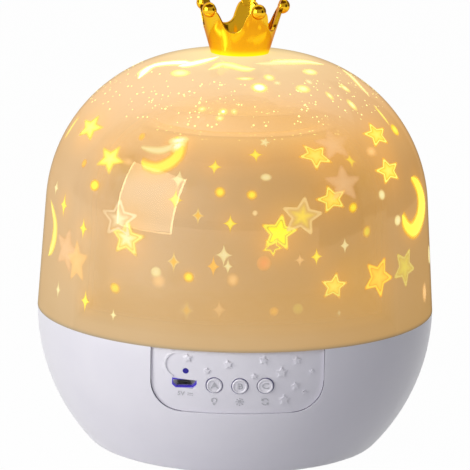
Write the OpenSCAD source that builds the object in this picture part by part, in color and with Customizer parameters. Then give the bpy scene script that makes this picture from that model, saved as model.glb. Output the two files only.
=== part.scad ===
// Star night light projector: a bowl-shaped base with a control panel, a turning film
// dome over a lamp, and a lift-off outer dome with a crown on top.
// Millimetres, +Z up, origin on the table at the centre, control panel towards -Y.

/* [Base shell] */
// Largest radius of the body, at the seam between base and dome
body_r = 70; // [68:0.5:76]
// Height of the seam above the table
seam_z = 48.5; // [47:0.5:54]
// Radius of the bowl's rounded side, centred at seam height
bowl_side_r = 69.25; // [67:0.25:70]
// Wall of the base shell
base_wall = 2.2; // [1.8:0.1:2.6]
// Rounding where the bowl's side meets its underside
foot_round_r = 3; // [1.5:0.25:4]
// Height of the shell's underside above the table
shell_lift = 0.8; // [0.6:0.1:1.4]
// Inner radius of the ledge that the bottom cover seats against
ledge_r = 38; // [36:0.5:39]
// Thickness of that ledge
ledge_t = 2.2; // [1.8:0.1:3]

/* [Bottom cover] */
// Radius of the bottom cover
cover_r = 46; // [45:0.25:47]
// Thickness of the bottom cover
cover_t = 2; // [1.6:0.1:2.6]
// Radius of the circle on which the cover's screws sit
cover_screw_r = 42; // [41:0.25:42.5]
// Number of cover screws
cover_screws = 4; // [3:1:6]
// Radius of one rubber foot pad
pad_r = 5; // [4:0.25:6]
// Thickness of one rubber foot pad
pad_t = 1.6; // [1.5:0.1:2.2]
// Distance of the foot pads from the centre
pad_ring_r = 34; // [30:0.5:35]

/* [Control panel] */
// Width of the control panel
panel_w = 58.8; // [56:0.4:62]
// Height of the control panel, from its lower edge up to the seam
panel_h = 22.5; // [21:0.5:24]
// Radius of the panel's lower corners
panel_corner_r = 10.5; // [8:0.5:12]
// Depth of the panel's face below the bowl's surface
panel_sink = 1; // [0.7:0.1:1.2]
// Thickness of the panel
panel_t = 2.4; // [2:0.1:2.8]
// Gap between the panel's edge and the bowl
panel_gap = 0.15; // [0.1:0.05:0.3]
// Height of the raised stars and moon
relief_h = 0.5; // [0.2:0.05:0.6]

/* [Buttons] */
// Distance of the button row below the seam
button_drop = 12.3; // [11.5:0.1:13]
// Distance from one button to the next
button_pitch = 8.6; // [8:0.1:9.4]
// Place of the middle button, to the right of the panel's centre
button_mid_x = 0.8; // [0:0.1:1.5]
// Radius of a button's cap
button_r = 2.65; // [2.3:0.05:2.8]
// Gap around a button's cap
button_gap = 0.3; // [0.2:0.05:0.4]
// How far a button stands out of the panel
button_proud = 0.6; // [0.3:0.1:1]
// Travel of a button
button_travel = 0.6; // [0.4:0.1:0.8]

/* [Charging socket and indicator] */
// Place of the socket, to the right of the panel's centre
socket_x = -17.9; // [-18.5:0.1:-17.5]
// Place of the socket, above the button row
socket_y = -0.4; // [-0.8:0.1:0.2]
// Width of the panel's opening for the socket
socket_w = 8.3; // [8.1:0.1:8.8]
// Height of the panel's opening for the socket
socket_h = 3.3; // [3.1:0.1:3.8]
// Place of the indicator, to the right of the panel's centre
indicator_x = -17.5; // [-19:0.1:-16]
// Place of the indicator, above the button row
indicator_y = 4.3; // [4.1:0.1:4.6]
// Radius of the indicator's window
indicator_r = 1; // [0.8:0.05:1.2]

/* [Control board] */
// Distance of the board's front face behind the bowl's surface
board_depth = 9.5; // [9.3:0.1:10.5]
// Width of the control board
board_w = 46; // [44:0.5:48]
// Thickness of the control board
board_t = 1.2; // [1:0.1:1.6]
// Width of one tact switch
switch_w = 6; // [5:0.25:6.5]

/* [Battery] */
// Length of the battery pack
battery_l = 46; // [40:1:48]
// Width of the battery pack
battery_w = 32; // [28:1:33]
// Thickness of the battery pack
battery_h = 9; // [7:0.5:10]
// Width of the strap over the battery
strap_w = 10; // [8:0.5:14]

/* [Top deck] */
// Distance of the deck's upper face below the seam
deck_drop = 2.1; // [1.9:0.1:2.4]
// Thickness of the deck
deck_t = 1.8; // [1.5:0.1:2]
// Gap between the deck's edge and the panel behind the bowl's wall
deck_edge_gap = 1.2; // [1.1:0.1:1.8]
// Distance of the deck's screws inside the deck's edge
deck_screw_edge = 6.9; // [6.4:0.1:7.9]
// Radius of one deck screw post
deck_post_r = 3.5; // [3:0.1:4]
// Outer radius of the neck that the turntable runs on
neck_r = 20; // [19:0.5:21]
// Wall of the neck
neck_wall = 2; // [1.6:0.1:2.4]

/* [Turntable] */
// Number of teeth on the turntable's gear ring
ring_teeth = 48; // [48:1:52]
// Number of teeth on the drive pinion
pinion_teeth = 12; // [12:1:16]
// Size of the teeth, as pitch diameter over number of teeth
tooth_module = 1.25; // [1.2:0.05:1.3]
// Height of the gear ring
ring_h = 3.6; // [3:0.2:4]
// Thickness of the turntable's disc
disc_t = 1.5; // [1.2:0.1:2]
// How far the turntable's disc stands out around the film dome
disc_rim = 1.5; // [1:0.1:2.5]
// Radial running gap between the turntable and the neck
running_gap = 0.05; // [0.03:0.01:0.08]

/* [Drive motor] */
// Direction of the motor from the centre, in degrees
motor_angle = 140; // [130:5:160]
// Radius of the motor's gearbox
gearbox_r = 12.5; // [11:0.5:13]
// Height of the motor's gearbox
gearbox_h = 9; // [7:0.5:10]
// Radius of the motor's can
can_r = 10; // [8:0.5:11]
// Length of the motor's can
can_l = 15; // [12:0.5:17]
// Radius of the output shaft
shaft_r = 1.5; // [1.2:0.1:2]

/* [Lamp] */
// Height of the lamp board above the deck
lamp_h = 19.6; // [14:0.4:24]
// Outer radius of the lamp post
post_r = 9; // [8:0.25:10]
// Wall of the lamp post
post_wall = 1.6; // [1.2:0.1:2]
// Radius of the lamp board
lamp_board_r = 13.5; // [13:0.25:15]
// Thickness of the lamp board
lamp_board_t = 1.6; // [1.2:0.1:2]
// Outer radius of the lamp lens
lens_r = 9.5; // [9:0.25:10]
// Wall of the lamp lens
lens_wall = 1.2; // [0.8:0.1:1.6]

/* [Film dome] */
// Distance of the film dome's lower edge inside the body's largest radius
film_clearance = 10.5; // [10:0.25:12]
// Height of the film dome's flat top above the turntable
film_h = 64; // [60:1:68]
// Radius of the film dome's shoulder
film_shoulder_r = 22; // [16:1:26]
// Lean of the film dome's side, in degrees
film_draft = 1.6; // [0.5:0.1:2.5]
// Wall of the film dome
film_wall = 1; // [0.8:0.1:1.4]
// Distance of the film cap's edge inside the flat top's edge
film_cap_edge = 5.3; // [3.5:0.1:8]
// Height of the film cap
film_cap_h = 6; // [4:0.5:8]

/* [Outer dome] */
// Height of the dome's side, from the seam up to where its shoulder starts
side_h = 39; // [36:0.5:44]
// Lean of the dome's side, in degrees
dome_draft = 4; // [3:0.1:4.4]
// Radius of the dome's shoulder
shoulder_r = 55; // [53:0.5:57]
// Radius of the dome's top
cap_r = 150; // [120:5:200]
// Wall of the dome
dome_wall = 2; // [1.6:0.1:2.2]
// How far the dome's lugs reach down inside the base
lug_drop = 3; // [2:0.25:3.5]
// Width of one lug, in degrees
lug_angle = 24; // [16:1:26]
// How far the dome lifts off
lift_travel = 100; // [90:5:120]

/* [Crown] */
// Number of points on the crown
crown_points = 5; // [5:1:6]
// Direction of the first point from the front, in degrees
crown_turn = 24; // [0:1:72]
// Radius of the crown at its foot
crown_r = 10.2; // [9.5:0.1:11.5]
// How fast the crown widens with height
crown_flare = 0.3; // [0.2:0.01:0.36]
// Wall of the crown
crown_wall = 1.5; // [1.2:0.1:1.8]
// Height of the crown's points
crown_h = 17.8; // [16:0.1:20]
// Height of the lowest place between two points
valley_h = 8.7; // [8:0.1:10]
// Radius of the rounding between two points
valley_r = 3.6; // [3:0.1:4]
// Radius of the ball on each point
ball_r = 2.65; // [2.2:0.05:2.9]

/* [Screws] */
// Radius of the large screws' shafts
screw_r = 1.3; // [1.1:0.05:1.4]
// Radius of the large screws' heads
head_r = 2.6; // [2.2:0.1:2.8]
// Height of the large screws' heads
head_h = 1.5; // [1.2:0.1:1.8]
// Radius of the small screws' shafts
fine_screw_r = 0.8; // [0.7:0.05:0.9]
// Radius of the small screws' heads
fine_head_r = 1.7; // [1.4:0.1:1.9]
// Height of the small screws' heads
fine_head_h = 1.1; // [0.9:0.1:1.4]
// Radial gap around a screw's shaft in a hole that it passes through
screw_gap = 0.2; // [0.15:0.05:0.3]

/* [Hidden] */

white = "whitesmoke";
cream = "navajowhite";
gold = "goldenrod";
steel = "silver";
board_green = "seagreen";

seat_gap = 0.05;   // between pieces that rest on each other
play = 0.2;        // between pieces that slide into each other by hand
over = 1;          // how far a cutting shape runs past a face
wide = 200;        // larger than the object, for shapes that clip

// Base shell and bottom cover
bowl_off = body_r - bowl_side_r;
cover_top_z = shell_lift + cover_t;
ledge_top_z = cover_top_z + ledge_t;
function bowl_r_at(z, inset = 0) = bowl_off + sqrt(pow(bowl_side_r - inset, 2) - pow(seam_z - z, 2));
cover_boss_r = 3;
cover_boss_h = 6;
cover_screw_l = 7;
pad_sink = pad_t - shell_lift;

// Control panel: a frame on the bowl's surface at the button row, z outwards, y up the panel
panel_tilt = asin(button_drop / bowl_side_r);
panel_frame_r = bowl_off + bowl_side_r * cos(panel_tilt);
panel_frame_z = seam_z - button_drop;
panel_back = panel_sink + panel_t;
panel_z0 = seam_z - panel_h;
panel_lip = 2;
panel_lip_t = panel_back - base_wall - seat_gap;
button_x = [for (i = [-1:1]) button_mid_x + i * button_pitch];
button_hole_r = button_r + button_gap;
// Depth of a surface that lies inset below the bowl's, at x from the panel's middle
function bowl_depth(x, inset) = panel_frame_r - sqrt(pow(panel_frame_r - inset, 2) - x * x);
flange_r = button_hole_r + 0.6;
flange_t = 0.8;
flange_z = -bowl_depth(max([for (x = button_x) abs(x)]) + flange_r, panel_back) - 0.2;
stem_r = 1.2;
stem_l = 0.2;
plunger_r = 1.7;
plunger_tip_z = flange_z - flange_t - stem_l;
switch_h = plunger_tip_z - button_travel - 0.15 + board_depth;
switch_floor = 0.7;
plunger_foot_z = -board_depth + switch_floor + 0.1 + button_travel;
socket_shell_w = 7.5;
socket_shell_h = 2.6;
socket_shell_t = 0.3;
socket_l = 4.5;
indicator_back_z = -board_depth + 1;
indicator_collar_z = -bowl_depth(indicator_x, panel_back) - 1;
board_y0 = -8.4;
board_y1 = 6;
board_back_z = -board_depth - board_t;
post_right = 7.6;
post_left = 4.5;
post_drop = 5.8;
panel_post_xy = [[button_x[2] + post_right, -1], [button_x[0] - post_left, -post_drop]];
panel_post_r = 1.9;
board_screw_l = 4.2;
socket_depth = 4;
lead_socket_w = 5;
battery_socket_x = -7;
motor_socket_x = 0.5;
lamp_socket_x = 10;
lead_socket_y = -3.4;
lead_socket_l = 4;
tongue_w = 4;
tongue_t = 0.6;
tongue_rise = 0.15;
tongue_back = 0.8;
socket_floor = 0.6;
led_w = 2;
led_l = 1.2;
led_h = 0.8;
collar_t = 0.8;
collar_rim = 0.7;

// Chips behind the board: x, y, width, length, height
chips = [[-19, -1, 5, 4, 1.5], [-3, 1, 6, 4, 1.2], [6, 1.5, 4.5, 4, 2.4], [12, 2.5, 2.5, 1.5, 1]];

// Stars on the panel: x from the middle, height below the seam, outer radius, turn
panel_stars = [
    [-17, 2.8, 1.5, 8], [-10.4, 6.9, 1.15, 0], [-3.3, 4.3, 1.6, 10], [8.6, 2.8, 1.5, -8],
    [5.5, 8.5, 1.15, 12], [14.8, 7.4, 2, 0], [19.9, 3.3, 1.5, 6], [25.2, 7.5, 0.85, 0],
    [19.7, 12.5, 1.5, 10], [22.9, 15, 0.8, 0], [16, 17.4, 2, 4]
];
star_waist = 0.48;
moon_x = -20.8;
moon_drop = 5.7;
moon_r = 4.3;

// Battery
battery_y = 4;
rib_t = 1.2;
rib_h = 5;
strap_t = 0.8;
strap_foot = 7;
strap_boss_h = 3;
strap_boss_r = 2.6;
strap_hole_y = battery_w / 2 + rib_t + 3.4;

// Top deck and neck
deck_z = seam_z - deck_drop;
deck_low_z = deck_z - deck_t;
deck_r = bowl_r_at(seam_z, panel_back) - deck_edge_gap;
deck_screw_r = deck_r - deck_screw_edge;
deck_screw_angles = [35, 145, 215, 325];
deck_screw_l = 8;
axial_gap = 0.1;
thrust_h = 0.3;
ring_z = deck_z + thrust_h + axial_gap;
disc_z = ring_z + ring_h;
disc_top_z = disc_z + disc_t;
film_r = body_r - film_clearance;
disc_r = film_r + disc_rim;
clip_t = 0.9;
clip_groove = 0.6;
clip_z = disc_top_z + axial_gap;
neck_top_z = clip_z + clip_t + 1.2;
hub_wall = 2.4;
clip_r = neck_r + 2.2;

// Gears: stub teeth, so that the small pinion runs free of undercut
pressure_angle = 20;
tooth_top = 0.75 * tooth_module;
tooth_root = 1 * tooth_module;
backlash = 0.12;
ring_pitch_r = tooth_module * ring_teeth / 2;
pinion_pitch_r = tooth_module * pinion_teeth / 2;
motor_r = ring_pitch_r + pinion_pitch_r;
motor_xy = motor_r * [cos(motor_angle), sin(motor_angle)];
pinion_h = ring_h - 0.5;
motor_ear_reach = 4;
motor_ear_d = gearbox_r + motor_ear_reach;
motor_ear_r = 3.6;
motor_ear_t = 2;
motor_boss_r = 3.6;
motor_screw_l = 5;
shaft_low_z = deck_low_z - gearbox_h + 2;

// Lamp
lamp_z = deck_z + lamp_h;
post_flange_r = neck_r - neck_wall - play;
post_flange_t = 2;
post_screw_r = (post_r + post_flange_r) / 2;
post_screw_l = 3.4;
post_seat_t = 3.4;
lamp_screw_r = (lens_r + lamp_board_r) / 2;
lamp_screw_l = 4;
emitter_w = 3.4;
emitter_h = 1.1;
emitter_ring_r = 4.8;
wire_hole_r = 3.4;

// Film dome
film_seat_z = disc_top_z + seat_gap;
film_top_z = film_seat_z + film_h;
film_lip_h = 3;
film_lip_t = 1.2;
film_shoulder_z = film_top_z - film_shoulder_r;
film_wall_top_z = film_shoulder_z + film_shoulder_r * sin(film_draft);
film_wall_top_r = film_r - (film_wall_top_z - film_seat_z) * tan(film_draft);
film_shoulder_x = film_wall_top_r - film_shoulder_r * cos(film_draft);
film_cap_r = film_shoulder_x - film_cap_edge;
cap_plug_h = 2;
cap_plug_r = film_cap_r - 1.2;
cap_wall = 1.2;

// Outer dome: leaning side, rounded shoulder and shallow top, each meeting the next smoothly
side_top_z = seam_z + side_h;
side_top_r = body_r - side_h * tan(dome_draft);
shoulder_x = side_top_r - shoulder_r * cos(dome_draft);
shoulder_z = side_top_z - shoulder_r * sin(dome_draft);
cap_z = shoulder_z - sqrt(pow(cap_r - shoulder_r, 2) - pow(shoulder_x, 2));
cap_angle = asin(shoulder_x / (cap_r - shoulder_r));
lug_outer_r = bowl_r_at(seam_z - lug_drop, base_wall) - play;
lug_inner_r = lug_outer_r - 1.8;
lug_web = 2.5;
lug_angles = [45, 135, 225, 315];

// Crown
crown_z = cap_z + sqrt(cap_r * cap_r - crown_r * crown_r);
crown_floor = 2;
crown_boss_r = 3.2;
crown_boss_h = 5;
ball_z = crown_h - 1.6;
crown_pad_r = 5.5;
crown_pad_z = cap_z + cap_r - dome_wall - 1.2;
washer_t = 0.6;
washer_r = 4.2;
crown_screw_l = 7;

// Rounds a solid of revolution off the bowl's curved side, inset below its surface
module bowl_disc(inset) {
    translate([bowl_off, seam_z]) circle(bowl_side_r - inset, $fn = 180);
}

module bowl_band(outer, inner, low_z, high_z) {
    rotate_extrude($fn = 180) intersection() {
        difference() {
            bowl_disc(outer);
            bowl_disc(inner);
        }
        translate([bowl_off, low_z]) square([wide, high_z - low_z]);
    }
}

module base_profile() {
    round_z = shell_lift + foot_round_r;
    round_x = bowl_off + sqrt(pow(bowl_side_r - foot_round_r, 2) - pow(seam_z - round_z, 2));
    reach = [round_x - bowl_off, round_z - seam_z] / (bowl_side_r - foot_round_r);
    difference() {
        union() {
            difference() {
                intersection() {
                    bowl_disc(0);
                    translate([ledge_r, shell_lift]) square([wide, seam_z - shell_lift]);
                }
                polygon([
                    [round_x, shell_lift - over], [round_x, round_z],
                    [round_x, round_z] + reach * 3 * foot_round_r
                ]);
            }
            translate([round_x, round_z]) circle(foot_round_r, $fn = 48);
        }
        translate([0, shell_lift - over]) square([cover_r + play, cover_t + over]);
        intersection() {
            bowl_disc(base_wall);
            translate([0, ledge_top_z]) square([wide, seam_z]);
        }
    }
}

// The panel's outline seen from the front, grown by grow all round
module panel_outline(grow) {
    half = panel_w / 2;
    corner_x = half - panel_corner_r;
    corner_z = panel_z0 + panel_corner_r;
    translate([-half - grow, corner_z]) square([2 * (half + grow), panel_h]);
    translate([-corner_x, panel_z0 - grow]) square([2 * corner_x, panel_h]);
    for (side = [-1, 1]) {
        translate([side * corner_x, corner_z]) circle(panel_corner_r + grow, $fn = 72);
    }
}

module towards_front() {
    translate([0, -body_r / 2, 0]) rotate([90, 0, 0]) linear_extrude(body_r) children();
}

module in_panel_frame() {
    translate([0, -panel_frame_r, panel_frame_z]) rotate([90 + panel_tilt, 0, 0]) children();
}

module star(outer) {
    polygon([
        for (i = [0:9]) (i % 2 == 0 ? outer : outer * star_waist) * [sin(36 * i), cos(36 * i)]
    ]);
}

module ring_of(count, radius, start = 0) {
    for (i = [0:count - 1]) {
        rotate(start + 360 * i / count) translate([radius, 0, 0]) children();
    }
}

// A screw with its head's underside at z = 0 and its shaft running down
module screw(length, shaft, head, head_height) {
    translate([0, 0, -length]) cylinder(r = shaft, h = length, $fn = 24);
    difference() {
        cylinder(r = head, h = head_height, $fn = 32);
        for (a = [0, 90]) {
            rotate(a) translate([-head * 0.6, -0.3, head_height / 2]) cube([head * 1.2, 0.6, head_height]);
        }
    }
}

module base_shell() {
    color(white) difference() {
        union() {
            difference() {
                rotate_extrude($fn = 180) base_profile();
                towards_front() panel_outline(0);
            }
            ring_of(cover_screws, cover_screw_r) {
                translate([0, 0, ledge_top_z - over]) cylinder(r = cover_boss_r, h = cover_boss_h + over, $fn = 36);
            }
            intersection() {
                for (a = deck_screw_angles) {
                    rotate(a) translate([deck_screw_r, 0, ledge_top_z]) {
                        cylinder(r = deck_post_r, h = deck_low_z - ledge_top_z, $fn = 36);
                    }
                }
                rotate_extrude($fn = 180) intersection() {
                    bowl_disc(base_wall / 2);
                    translate([0, cover_top_z]) square([wide, seam_z]);
                }
            }
        }
        ring_of(cover_screws, cover_screw_r) {
            translate([0, 0, cover_top_z - over]) cylinder(r = screw_r, h = cover_screw_l + over, $fn = 24);
        }
        for (a = deck_screw_angles) {
            rotate(a) translate([deck_screw_r, 0, deck_z - deck_screw_l - over]) {
                cylinder(r = screw_r, h = deck_screw_l + 2 * over, $fn = 24);
            }
        }
    }
}

module bottom_cover() {
    rib_out = [battery_l, battery_w] + 2 * [rib_t + play, rib_t + play];
    rib_in = [battery_l, battery_w] + 2 * [play, play];
    color(white) difference() {
        union() {
            translate([0, 0, shell_lift]) cylinder(r = cover_r, h = cover_t, $fn = 144);
            translate([0, battery_y, cover_top_z - over]) difference() {
                translate([-rib_out[0] / 2, -rib_out[1] / 2, 0]) cube([rib_out[0], rib_out[1], rib_h + over]);
                translate([-rib_in[0] / 2, -rib_in[1] / 2, -over]) cube([rib_in[0], rib_in[1], rib_h + 3 * over]);
                translate([-strap_w / 2 - play, -rib_out[1], over]) cube([strap_w + 2 * play, 2 * rib_out[1], rib_h + over]);
            }
            for (side = [-1, 1]) {
                translate([0, battery_y + side * strap_hole_y, cover_top_z - over]) {
                    cylinder(r = strap_boss_r, h = strap_boss_h + over, $fn = 32);
                }
            }
        }
        ring_of(cover_screws, cover_screw_r) {
            translate([0, 0, shell_lift - over]) {
                cylinder(r = screw_r + screw_gap, h = cover_t + 2 * over, $fn = 24);
                cylinder(r = head_r + screw_gap, h = head_h - shell_lift / 2 + over, $fn = 32);
            }
        }
        ring_of(4, pad_ring_r, 45) {
            translate([0, 0, shell_lift - over]) cylinder(r = pad_r, h = pad_sink + over, $fn = 48);
        }
        for (side = [-1, 1]) {
            translate([0, battery_y + side * strap_hole_y, cover_top_z]) {
                cylinder(r = fine_screw_r, h = strap_boss_h + over, $fn = 24);
            }
        }
    }
}

module cover_screws_set() {
    color(steel) ring_of(cover_screws, cover_screw_r) {
        translate([0, 0, shell_lift + head_h - shell_lift / 2]) rotate([180, 0, 0]) {
            screw(cover_screw_l - 1, screw_r, head_r, head_h - shell_lift / 2);
        }
    }
}

module foot_pads() {
    color("dimgray") ring_of(4, pad_ring_r, 45) cylinder(r = pad_r, h = pad_t, $fn = 48);
}

module control_panel() {
    color(white) difference() {
        union() {
            intersection() {
                towards_front() panel_outline(-panel_gap);
                bowl_band(panel_sink, panel_back, ledge_top_z, seam_z - panel_gap);
            }
            intersection() {
                towards_front() panel_outline(panel_lip);
                bowl_band(panel_back - panel_lip_t, panel_back, ledge_top_z, seam_z - panel_gap);
            }
            intersection() {
                towards_front() {
                    for (s = panel_stars) {
                        translate([s[0], seam_z - s[1]]) rotate(s[3]) star(s[2]);
                    }
                    translate([moon_x, seam_z - moon_drop]) difference() {
                        circle(moon_r, $fn = 64);
                        translate([0.7, 0.3]) circle(moon_r - 0.1, $fn = 64);
                        translate([-1, -2 * moon_r]) square(4 * moon_r);
                    }
                }
                bowl_band(panel_sink - relief_h, panel_sink + panel_t / 2, ledge_top_z, seam_z - panel_gap);
            }
            for (p = panel_post_xy) {
                in_panel_frame() translate([p[0], p[1], -board_depth]) {
                    cylinder(r = panel_post_r, h = board_depth - panel_back + panel_t / 4 - bowl_depth(p[0], 0), $fn = 32);
                }
            }
        }
        in_panel_frame() {
            for (x = button_x) {
                translate([x, 0, -board_depth]) cylinder(r = button_hole_r, h = board_depth, $fn = 48);
            }
            translate([indicator_x, indicator_y, -board_depth]) {
                cylinder(r = indicator_r + seat_gap, h = board_depth, $fn = 32);
            }
            translate([socket_x, socket_y, -board_depth]) linear_extrude(board_depth) socket_outline(0);
            for (p = panel_post_xy) {
                translate([p[0], p[1], -board_depth - over]) {
                    cylinder(r = fine_screw_r, h = board_screw_l - board_t + over + 0.4, $fn = 24);
                }
            }
        }
    }
}

// The socket's outline: wide above, with its two lower corners cut off
module socket_outline(inset) {
    half_w = socket_w / 2 - inset;
    half_h = socket_h / 2 - inset;
    cut = socket_h * 0.36;
    polygon([
        [-half_w, half_h], [-half_w, -half_h + cut], [-half_w + cut, -half_h],
        [half_w - cut, -half_h], [half_w, -half_h + cut], [half_w, half_h]
    ]);
}

module socket_body(grow) {
    half_w = socket_shell_w / 2 + grow;
    half_h = socket_shell_h / 2 + grow;
    cut = socket_shell_h * 0.36;
    polygon([
        [-half_w, half_h], [-half_w, -half_h + cut], [-half_w + cut, -half_h],
        [half_w - cut, -half_h], [half_w, -half_h + cut], [half_w, half_h]
    ]);
}

module light_pipe() {
    color("lightblue") in_panel_frame() translate([indicator_x, indicator_y, 0]) {
        top_z = -bowl_depth(indicator_x, panel_sink) - 0.2;
        translate([0, 0, indicator_back_z]) cylinder(r = indicator_r, h = top_z - indicator_back_z, $fn = 32);
        translate([0, 0, indicator_collar_z - collar_t]) {
            cylinder(r = indicator_r + collar_rim, h = collar_t, $fn = 32);
        }
    }
}

module usb_socket() {
    color(steel) in_panel_frame() translate([socket_x, socket_y, -board_depth]) {
        difference() {
            linear_extrude(socket_l) socket_body(0);
            translate([0, 0, socket_floor]) linear_extrude(board_depth) socket_body(-socket_shell_t);
        }
    }
}

module usb_tongue() {
    color("dimgray") in_panel_frame() {
        translate([socket_x - tongue_w / 2, socket_y + tongue_rise, -board_depth + socket_floor]) {
            cube([tongue_w, tongue_t, socket_l - socket_floor - tongue_back]);
        }
    }
}

module control_board() {
    color(board_green) in_panel_frame() difference() {
        translate([-board_w / 2, board_y0, board_back_z]) cube([board_w, board_y1 - board_y0, board_t]);
        for (p = panel_post_xy) {
            translate([p[0], p[1], board_back_z - over]) {
                cylinder(r = fine_screw_r + screw_gap, h = board_t + 2 * over, $fn = 24);
            }
        }
    }
}

module tact_switches() {
    color("black") in_panel_frame() {
        for (x = button_x) {
            translate([x, 0, -board_depth]) difference() {
                translate([-switch_w / 2, -switch_w / 2, 0]) cube([switch_w, switch_w, switch_h]);
                translate([0, 0, switch_floor]) cylinder(r = plunger_r + seat_gap, h = switch_h, $fn = 32);
            }
        }
    }
}

module status_led() {
    color("blue") in_panel_frame() {
        translate([indicator_x - led_w / 2, indicator_y - led_l / 2, -board_depth]) cube([led_w, led_l, led_h]);
    }
}

module board_chips() {
    color("black") in_panel_frame() {
        for (c = chips) {
            translate([c[0], c[1], board_back_z - c[4]]) cube([c[2], c[3], c[4]]);
        }
    }
}

module lead_sockets() {
    color("ivory") in_panel_frame() {
        for (x = [battery_socket_x, motor_socket_x, lamp_socket_x]) {
            translate([x - lead_socket_w / 2, lead_socket_y - lead_socket_l / 2, board_back_z - socket_depth]) {
                cube([lead_socket_w, lead_socket_l, socket_depth]);
            }
        }
    }
}

module board_screws() {
    color(steel) in_panel_frame() {
        for (p = panel_post_xy) {
            translate([p[0], p[1], board_back_z]) rotate([180, 0, 0]) {
                screw(board_screw_l, fine_screw_r, fine_head_r, fine_head_h);
            }
        }
    }
}

// One push button: cap, flange behind the panel and stem down to its switch
module button(i) {
    face_z = -bowl_depth(button_x[i], panel_sink) + button_proud;
    color(white) in_panel_frame() translate([button_x[i], 0, 0]) {
        translate([0, 0, flange_z - flange_t]) {
            cylinder(r = button_r, h = face_z - flange_z + flange_t, $fn = 48);
            cylinder(r = flange_r, h = flange_t, $fn = 48);
        }
        translate([0, 0, plunger_tip_z]) cylinder(r = stem_r, h = stem_l + flange_t / 2, $fn = 24);
    }
}

module plunger(i) {
    color("saddlebrown") in_panel_frame() {
        translate([button_x[i], 0, plunger_foot_z]) {
            cylinder(r = plunger_r, h = plunger_tip_z - plunger_foot_z, $fn = 32);
        }
    }
}

module button_a() { button(0); }
module button_b() { button(1); }
module button_c() { button(2); }
module plunger_a() { plunger(0); }
module plunger_b() { plunger(1); }
module plunger_c() { plunger(2); }

module battery_pack() {
    rounding = battery_h / 2;
    color("steelblue") translate([0, battery_y, cover_top_z]) {
        translate([-battery_l / 2, -battery_w / 2 + rounding, 0]) cube([battery_l, battery_w - 2 * rounding, battery_h]);
        for (side = [-1, 1]) {
            translate([-battery_l / 2, side * (battery_w / 2 - rounding), rounding]) {
                rotate([0, 90, 0]) cylinder(r = rounding, h = battery_l, $fn = 48);
            }
        }
    }
}

module battery_strap() {
    low_z = cover_top_z + strap_boss_h;
    high_z = cover_top_z + battery_h + seat_gap;
    leg_y = battery_w / 2 + play / 2;
    color(steel) translate([-strap_w / 2, battery_y, 0]) difference() {
        union() {
            translate([0, -leg_y, high_z]) cube([strap_w, 2 * leg_y, strap_t]);
            for (side = [-1, 1]) {
                translate([0, side * (leg_y + strap_t / 2) - strap_t / 2, low_z]) {
                    cube([strap_w, strap_t, high_z + strap_t - low_z]);
                }
                translate([0, side * (leg_y + strap_foot / 2) - strap_foot / 2, low_z]) {
                    cube([strap_w, strap_foot, strap_t]);
                }
            }
        }
        for (side = [-1, 1]) {
            translate([strap_w / 2, side * strap_hole_y, low_z - over]) {
                cylinder(r = fine_screw_r + screw_gap, h = strap_t + 2 * over, $fn = 24);
            }
        }
    }
}

module strap_screws() {
    color(steel) for (side = [-1, 1]) {
        translate([0, battery_y + side * strap_hole_y, cover_top_z + strap_boss_h + strap_t]) {
            screw(strap_boss_h, fine_screw_r, fine_head_r, fine_head_h);
        }
    }
}

module top_deck() {
    color(white) difference() {
        union() {
            translate([0, 0, deck_low_z]) cylinder(r = deck_r, h = deck_t, $fn = 180);
            translate([0, 0, deck_z - over]) cylinder(r = neck_r, h = neck_top_z - deck_z + over, $fn = 96);
            translate([0, 0, deck_z - over]) cylinder(r = neck_r + hub_wall, h = thrust_h + over, $fn = 96);
        }
        translate([0, 0, deck_z]) cylinder(r = neck_r - neck_wall, h = neck_top_z, $fn = 96);
        translate([0, 0, deck_low_z - over]) cylinder(r = wire_hole_r, h = deck_t + 2 * over, $fn = 36);
        translate([0, 0, clip_z]) difference() {
            cylinder(r = neck_r + over, h = clip_t, $fn = 96);
            translate([0, 0, -over]) cylinder(r = neck_r - clip_groove, h = clip_t + 2 * over, $fn = 96);
        }
        for (a = deck_screw_angles) {
            rotate(a) translate([deck_screw_r, 0, deck_low_z - over]) {
                cylinder(r = screw_r + screw_gap, h = deck_t + 2 * over, $fn = 24);
            }
        }
        ring_of(3, post_screw_r, 90) {
            translate([0, 0, deck_low_z - over]) cylinder(r = fine_screw_r, h = deck_t + 2 * over, $fn = 24);
        }
        translate([motor_xy[0], motor_xy[1], deck_low_z - over]) {
            cylinder(r = motor_boss_r + play, h = deck_t + 2 * over, $fn = 36);
            rotate(motor_angle) for (side = [-1, 1]) {
                translate([0, side * motor_ear_d, 0]) {
                    cylinder(r = screw_r + screw_gap, h = deck_t + 2 * over, $fn = 24);
                }
            }
        }
    }
}

module deck_screws() {
    color(steel) for (a = deck_screw_angles) {
        rotate(a) translate([deck_screw_r, 0, deck_z]) screw(deck_screw_l, screw_r, head_r, head_h);
    }
}

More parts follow.
